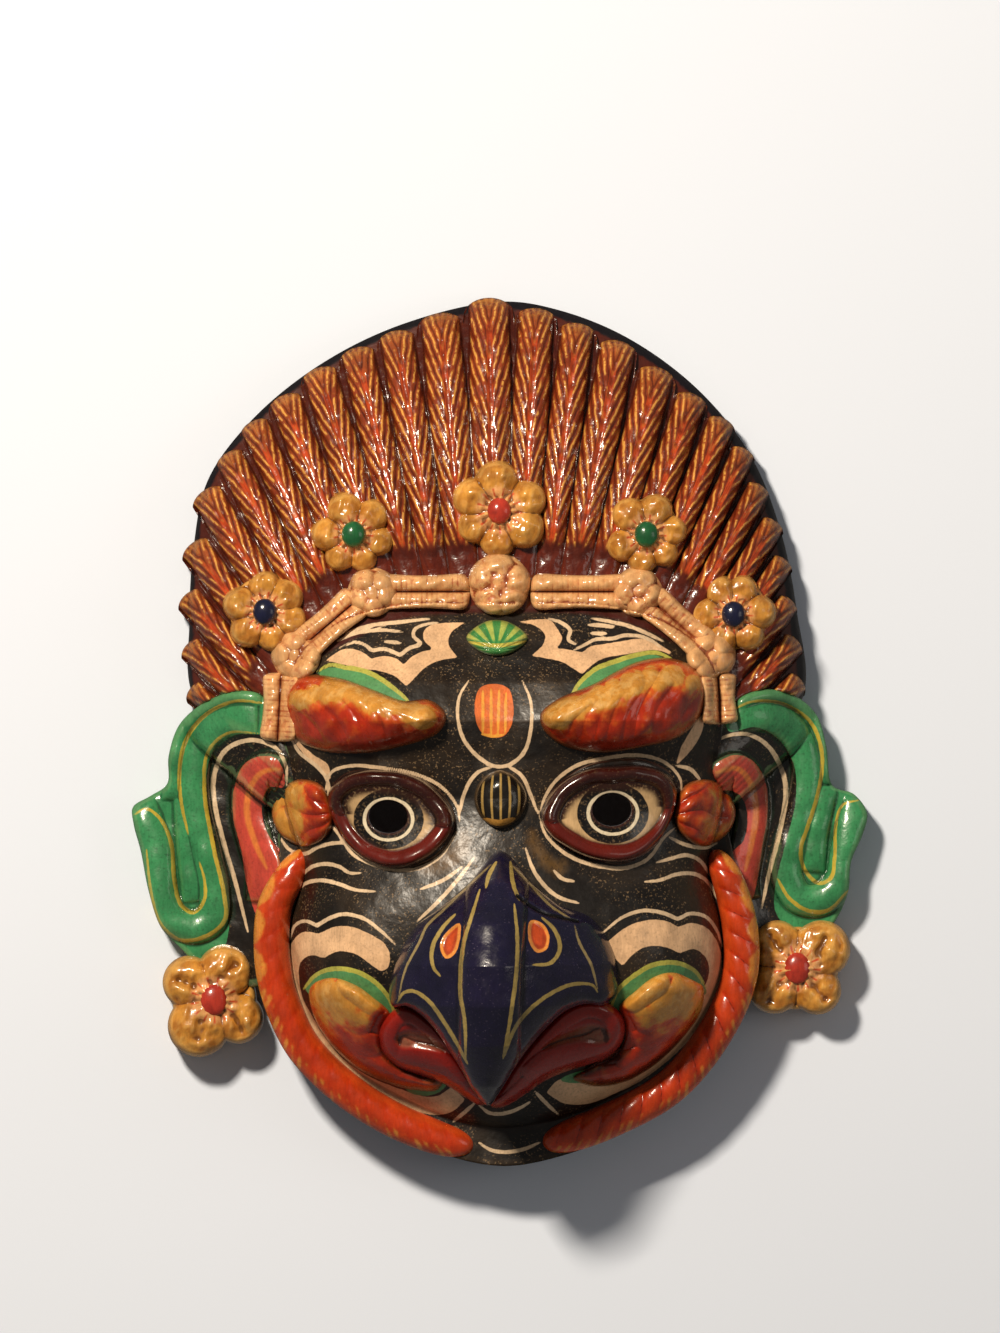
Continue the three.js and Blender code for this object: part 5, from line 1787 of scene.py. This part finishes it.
def ruff_shape(side):
    outer = 1 if side == 0 else -1

    def shape(x, y, column, along):
        rope = np.abs(np.sin(math.pi * (along + 5 * column * outer) / TWIST_PITCH)) ** 0.6
        depth = 0.3 if side == 0 else 0.8
        rise = RUFF_RISE * dome(0.97 * column) + (rope - 0.7) * depth * (1 - column**4)
        edge = -column * outer
        fine = smooth(-y, 26 * up, 34 * up)
        dabs = np.abs(np.sin(math.pi * along / 13.5 + 0.5 * lumps(x, y, 30, 21))) ** 0.5
        strokes = np.abs(np.sin(math.pi * (along - 7 * edge) / 4.2)) + 0.4 * lumps(x, y, 12, 22)
        broad = (edge - 0.62) * 6 + (dabs - 0.75) * 5
        narrow = np.minimum((edge - 0.5) * 6, (strokes - 0.95) * 3)
        return rise, {"dab": broad + (narrow - broad) * fine}

    return shape


def ruff_paint():
    paint = Paint("orange-red tempera under varnish", "#b93510")
    paint.mottle("#9a270b", 12, 3.0, 0.35, 0.65, 0.5)
    paint.coat("dab", "#c88434", edge=1.8, wobble=1.8, thin=0.25)
    return paint.finish(grooves="#3a0d06", crests="#dc6a28", wear_and_highlight=0.2, dirt_and_shade=0.8, rough=0.27)


def ruff_half(share):
    return RUFF_WIDTH / 2 * (0.95 + 0.13 * np.clip(share * 5, 0, 1))


orange_red = ruff_paint()
for side in (0, 1):
    name, twist = f"beard_band_{side}", ruff_shape(side)
    band(name, RUFFS[side], ruff_half, ruff_skin, twist, orange_red, RUFF_CELLS, 7)
print("the beard band is on")

# %% [markdown]
# ## The ears
# The ears are scrolls like clouds: a green outer scroll that rolls down and back up, a black
# channel with a white line, and a red inner ear. Yellow lines follow the folds.

# %% The ears
GREEN_SCROLLS = [
    [
        (-31.2, 5), (-35.2, 5.9), (-41.3, 4.1), (-45, 0.9), (-46.3, -3.1), (-46.3, -6.4), (-51.5, -6.6),
        (-51.2, -11.2), (-49.5, -19.3), (-47.4, -24.5), (-42.7, -27.7), (-38.6, -26.3), (-36.9, -22.8),
        (-37.7, -19.3), (-39, -12.4), (-40, -6), (-39.2, -2.5), (-35.9, -0.2), (-31.4, 0.2),
    ],
    [
        (30.9, 0.3), (31.2, 4.1), (35.2, 5.9), (40, 5.6), (44.4, 2.4), (45.8, -2), (46.3, -6.1),
        (51.5, -6.6), (50.9, -11.5), (48.8, -14.9), (48.5, -18.8), (46.7, -22.2), (42.3, -24),
        (37.7, -21.1), (37.4, -18.2), (38.6, -13.5), (40.2, -7.8), (40, -3.7), (37.9, -0.8),
        (34.7, 0.7),
    ],
]
INNER_EARS = [
    [
        (-29.3, -6.2), (-29.4, -4.1), (-30.5, -2.8), (-32.8, -2.7), (-34.8, -3.7), (-36.2, -6.6),
        (-36.2, -10.1), (-35.2, -13.5), (-34.4, -17.6), (-32.8, -21.4), (-31.8, -19.9), (-30.2, -17),
        (-29.3, -14.2), (-31, -12.4), (-32.2, -10.1), (-32.2, -7.8), (-31.2, -6.2),
    ],
    [
        (29, -6.6), (29, -3.8), (31.8, -2.5), (34.1, -3.1), (36, -5.4), (36.4, -8.9), (35.6, -13.5),
        (34.7, -18.2), (33.6, -20.3), (32.5, -17), (31.2, -14.2), (33.1, -12.4), (33.6, -9.5),
        (32.8, -7.4), (31.2, -6.6),
    ],
]
INNER_STREAKS = [
    [[(-29.8, -4.1), (-32.2, -4.5), (-33.9, -6.4), (-34.4, -9.1), (-33.3, -12.6), (-31.7, -15.6)]],
    [[(29.3, -4.5), (32.2, -4.1), (34.1, -6), (34.8, -9.1), (34.1, -13), (33.3, -15.9)]],
]
EAR_WHITES = [
    [
        [
            (-28.9, -6), (-29, -3.7), (-30.5, -1.6), (-33.9, -0.8), (-37.3, -2), (-38.9, -4.9),
            (-38.9, -7.8), (-37.9, -11.8), (-35.9, -17.6), (-34.3, -23),
        ],
    ],
    [
        [
            (29, -1), (31.2, -0.2), (33.9, -0.2), (36.6, -1.7), (38.6, -4.9), (38.9, -7.2),
            (38.1, -11.2), (36.7, -15.9), (35.6, -20.3),
        ],
    ],
]
EAR_YELLOWS = [
    [
        [
            (-32.2, 3.5), (-35.9, 3.7), (-40, 2.1), (-42.7, -0.8), (-43.6, -4.3), (-43.4, -7.8),
            (-42.4, -11.8),
        ],
        [
            (-32.8, 0), (-36.9, 0), (-39.7, -2.2), (-40.2, -6.6), (-38.9, -13.5), (-37.5, -18.8),
            (-37.4, -21.6), (-39.7, -23.4), (-43.4, -24), (-46.1, -22.2), (-47.4, -18.8),
            (-48.1, -13.5),
        ],
        [
            (-49.9, -9.5), (-48.1, -8.8), (-46.1, -10.1), (-44.7, -13), (-44.3, -17), (-43.4, -19.9),
            (-41.7, -20.8), (-40.2, -19.3), (-40.2, -17), (-40.9, -14.9),
        ],
    ],
    [
        [
            (31.6, 2.7), (33.9, 3.6), (37.9, 3.5), (42, 1.5), (43.6, -1.4), (43.8, -4.3), (43, -7.8),
            (41.7, -11.2), (40.9, -13.5), (41.5, -15.9), (43.4, -17.4), (45, -16.8), (45.5, -14.7),
            (45.8, -10.1), (46.7, -8.3), (48.8, -7.8),
        ],
        [(37.7, -16.8), (39.3, -19.1), (42, -20.6), (44.7, -20.5), (47.4, -18.2)],
    ],
]
EAR_ROLLS = [
    [
        ([(-32.2, 4.4), (-35.9, 4.7), (-40.2, 3.4), (-43.2, 0.8), (-44.4, -2.9), (-44.6, -7.8)], 4.4, 4.5),
        ([
            (-32.8, 1.6), (-36.6, 1.6), (-40.2, -0.3), (-41.7, -4.1), (-41.5, -8.7), (-40.1, -13.8),
            (-38.9, -18.4), (-39, -21.2), (-41.3, -22.5), (-44.2, -21.8), (-45.9, -18.9),
            (-46.7, -13.5), (-48, -10.3), (-49.2, -8.2),
        ], 6.4, 5),
        ([(-42.8, -6.6), (-42.5, -11.8), (-42, -16.1), (-41.6, -19.6)], 5, 3.2),
        ([
            (-29.5, -4.9), (-31.8, -4.3), (-33.9, -6.2), (-34.1, -9.5), (-33.2, -12.7), (-32, -16.1),
            (-32.1, -19.6),
        ], 7.4, 5.5),
    ],
    [
        ([(31.8, 3.5), (35.5, 4.7), (39.6, 4.3), (42.7, 2.3), (44.3, -1), (44.6, -6)], 4.4, 4.5),
        ([
            (32.2, 1.5), (36.3, 2), (40, 0), (41.7, -3.1), (41.5, -7.2), (39.8, -12.4), (39, -16.4),
            (40.7, -19.1), (43.6, -19.3), (46.3, -17.2), (47.2, -13.5), (48.4, -9.8), (49.2, -7.8),
        ], 6.4, 5),
        ([(44.4, -6), (43.1, -11.2), (42.5, -16.1)], 5, 3.2),
        ([
            (29.3, -5.4), (32, -4.2), (33.9, -6.2), (34.3, -9.5), (33.6, -13.3), (32.8, -17),
            (33.1, -19.3),
        ], 7, 5.5),
    ],
]


def ear_paint():
    """Green, black, red and yellow tempera, laid side by side and varnished."""
    paint = Paint("ear colours under varnish", "#17120e")
    paint.specks(0.9, 0.4, "#7d6648", 0.5)
    deep_green = paint.ramp(paint.noise(16, 3.0), 0.3, 0.7, 0.0, 0.5)
    paint.coat("green", "#3b8a58", thin=0.2)
    in_green = paint.ramp(paint.read("green"), 0.5, 0.55)
    paint.over(paint.both(in_green, deep_green), "#226a3e")
    paint.coat("red", "#b94436")
    paint.coat("streak", "#cf7437", edge=1.2)
    paint.coat("white", "#cdb493")
    paint.coat("yellow", "#b59f38")
    return paint.finish(grooves="#0a2413", crests="#7fa672", wear_and_highlight=0.25, dirt_and_shade=0.6, rough=0.3)


ear_colours = ear_paint()


def ear_shape(side):
    def shape(x, y, inside):
        rise = ridges(x, y, EAR_ROLLS[side]) + 2.0 * round_over(inside, 4) + 0.3 * lumps(x, y, 12, 12)
        rise = np.maximum(rise, (crown_top(x, y) - 6.5 - ear_plate(x, y)) * smooth(buried(x, y), 3, 9))
        painted = {
            "green": filled(x, y, [GREEN_SCROLLS[side]]),
            "red": filled(x, y, [INNER_EARS[side]]),
            "streak": brushed(x, y, INNER_STREAKS[side], 2.4),
            "white": brushed(x, y, EAR_WHITES[side], 1.9),
            "yellow": brushed(x, y, EAR_YELLOWS[side], 1.6),
        }
        return rise, painted

    return shape


SLOPE_STEPS = (2, 4, 6, 8, 10, 12)  # mm, at one in one
SLOPE_TURNS = 40


def ear_plate(x, y):
    """The ear's own height, or a slope that comes down from the edge of the fan."""
    on_the_fan = fan_top(x, y)
    for away in SLOPE_STEPS:
        for angle in np.linspace(0, FULL_TURN, SLOPE_TURNS, endpoint=False):
            beside = fan_top(*around((x, y), away, angle))
            on_the_fan = np.maximum(on_the_fan, beside - away)
    return higher(ear_top(x, y) - 3, on_the_fan - 1, 5)


def under_ear(x, y):
    """Flat on the back plane outside the shell; inside it the ear's root stays in the shell's wall."""
    root = smooth(buried(x, y), 1, 7) * (ear_plate(x, y) - BEDDING)
    return np.maximum(root, (crown_top(x, y) - 7.5) * smooth(buried(x, y), 3, 9))


for side in (0, 1):
    relief(f"ear_{side}", EARS[side], ear_plate, ear_shape(side), ear_colours, 156, under_ear, 12)
print("both ears are on")

# %% [markdown]
# ## Floor and light
# A pale floor, a large soft light, and one smaller warm lamp from the upper left that draws the
# sharp highlights in the varnish.

# %% Floor, lights and world
def pale_floor():
    material = bpy.data.materials.new("matt white paper")
    material.use_nodes = True
    shader = material.node_tree.nodes["Principled BSDF"]
    shader.inputs["Base Color"].default_value = linear("#dbe4f4")
    shader.inputs["Roughness"].default_value = 0.9
    return material


floor_mesh = bmesh.new()
bmesh.ops.create_grid(floor_mesh, x_segments=1, y_segments=1, size=3)
mesh = bpy.data.meshes.new("floor")
floor_mesh.to_mesh(mesh)
floor_mesh.free()
mesh.materials.append(pale_floor())
floor = bpy.data.objects.new("floor", mesh)
bpy.context.scene.collection.objects.link(floor)
floor.visible_glossy = False  # the photograph's room was dark, so the varnish mirrors no bright floor


def lamp(name, place, size, power, colour):
    light = bpy.data.lights.new(name, "AREA")
    light.size, light.energy, light.color = size, power, colour
    light.specular_factor = 0.6
    hung = bpy.data.objects.new(name, light)
    hung.location = place
    direction = bpy.data.objects["floor"].location - hung.location
    hung.rotation_euler = direction.to_track_quat("-Z", "Y").to_euler()
    bpy.context.scene.collection.objects.link(hung)


lamp("key", (-0.65, 0.95, 1.6), 0.2, 52, (1.0, 0.87, 0.70))
lamp("fill", (1.6, 0.1, 1.2), 0.8, 3, (1.0, 0.93, 0.84))
world = bpy.data.worlds.new("world")
world.use_nodes = True
world.node_tree.nodes["Background"].inputs["Color"].default_value = (1.0, 0.95, 0.88, 1)
world.node_tree.nodes["Background"].inputs["Strength"].default_value = 0.13
bpy.context.scene.world = world
bpy.context.scene.view_settings.view_transform = "Standard"
print(len(made_pieces), "pieces are made")
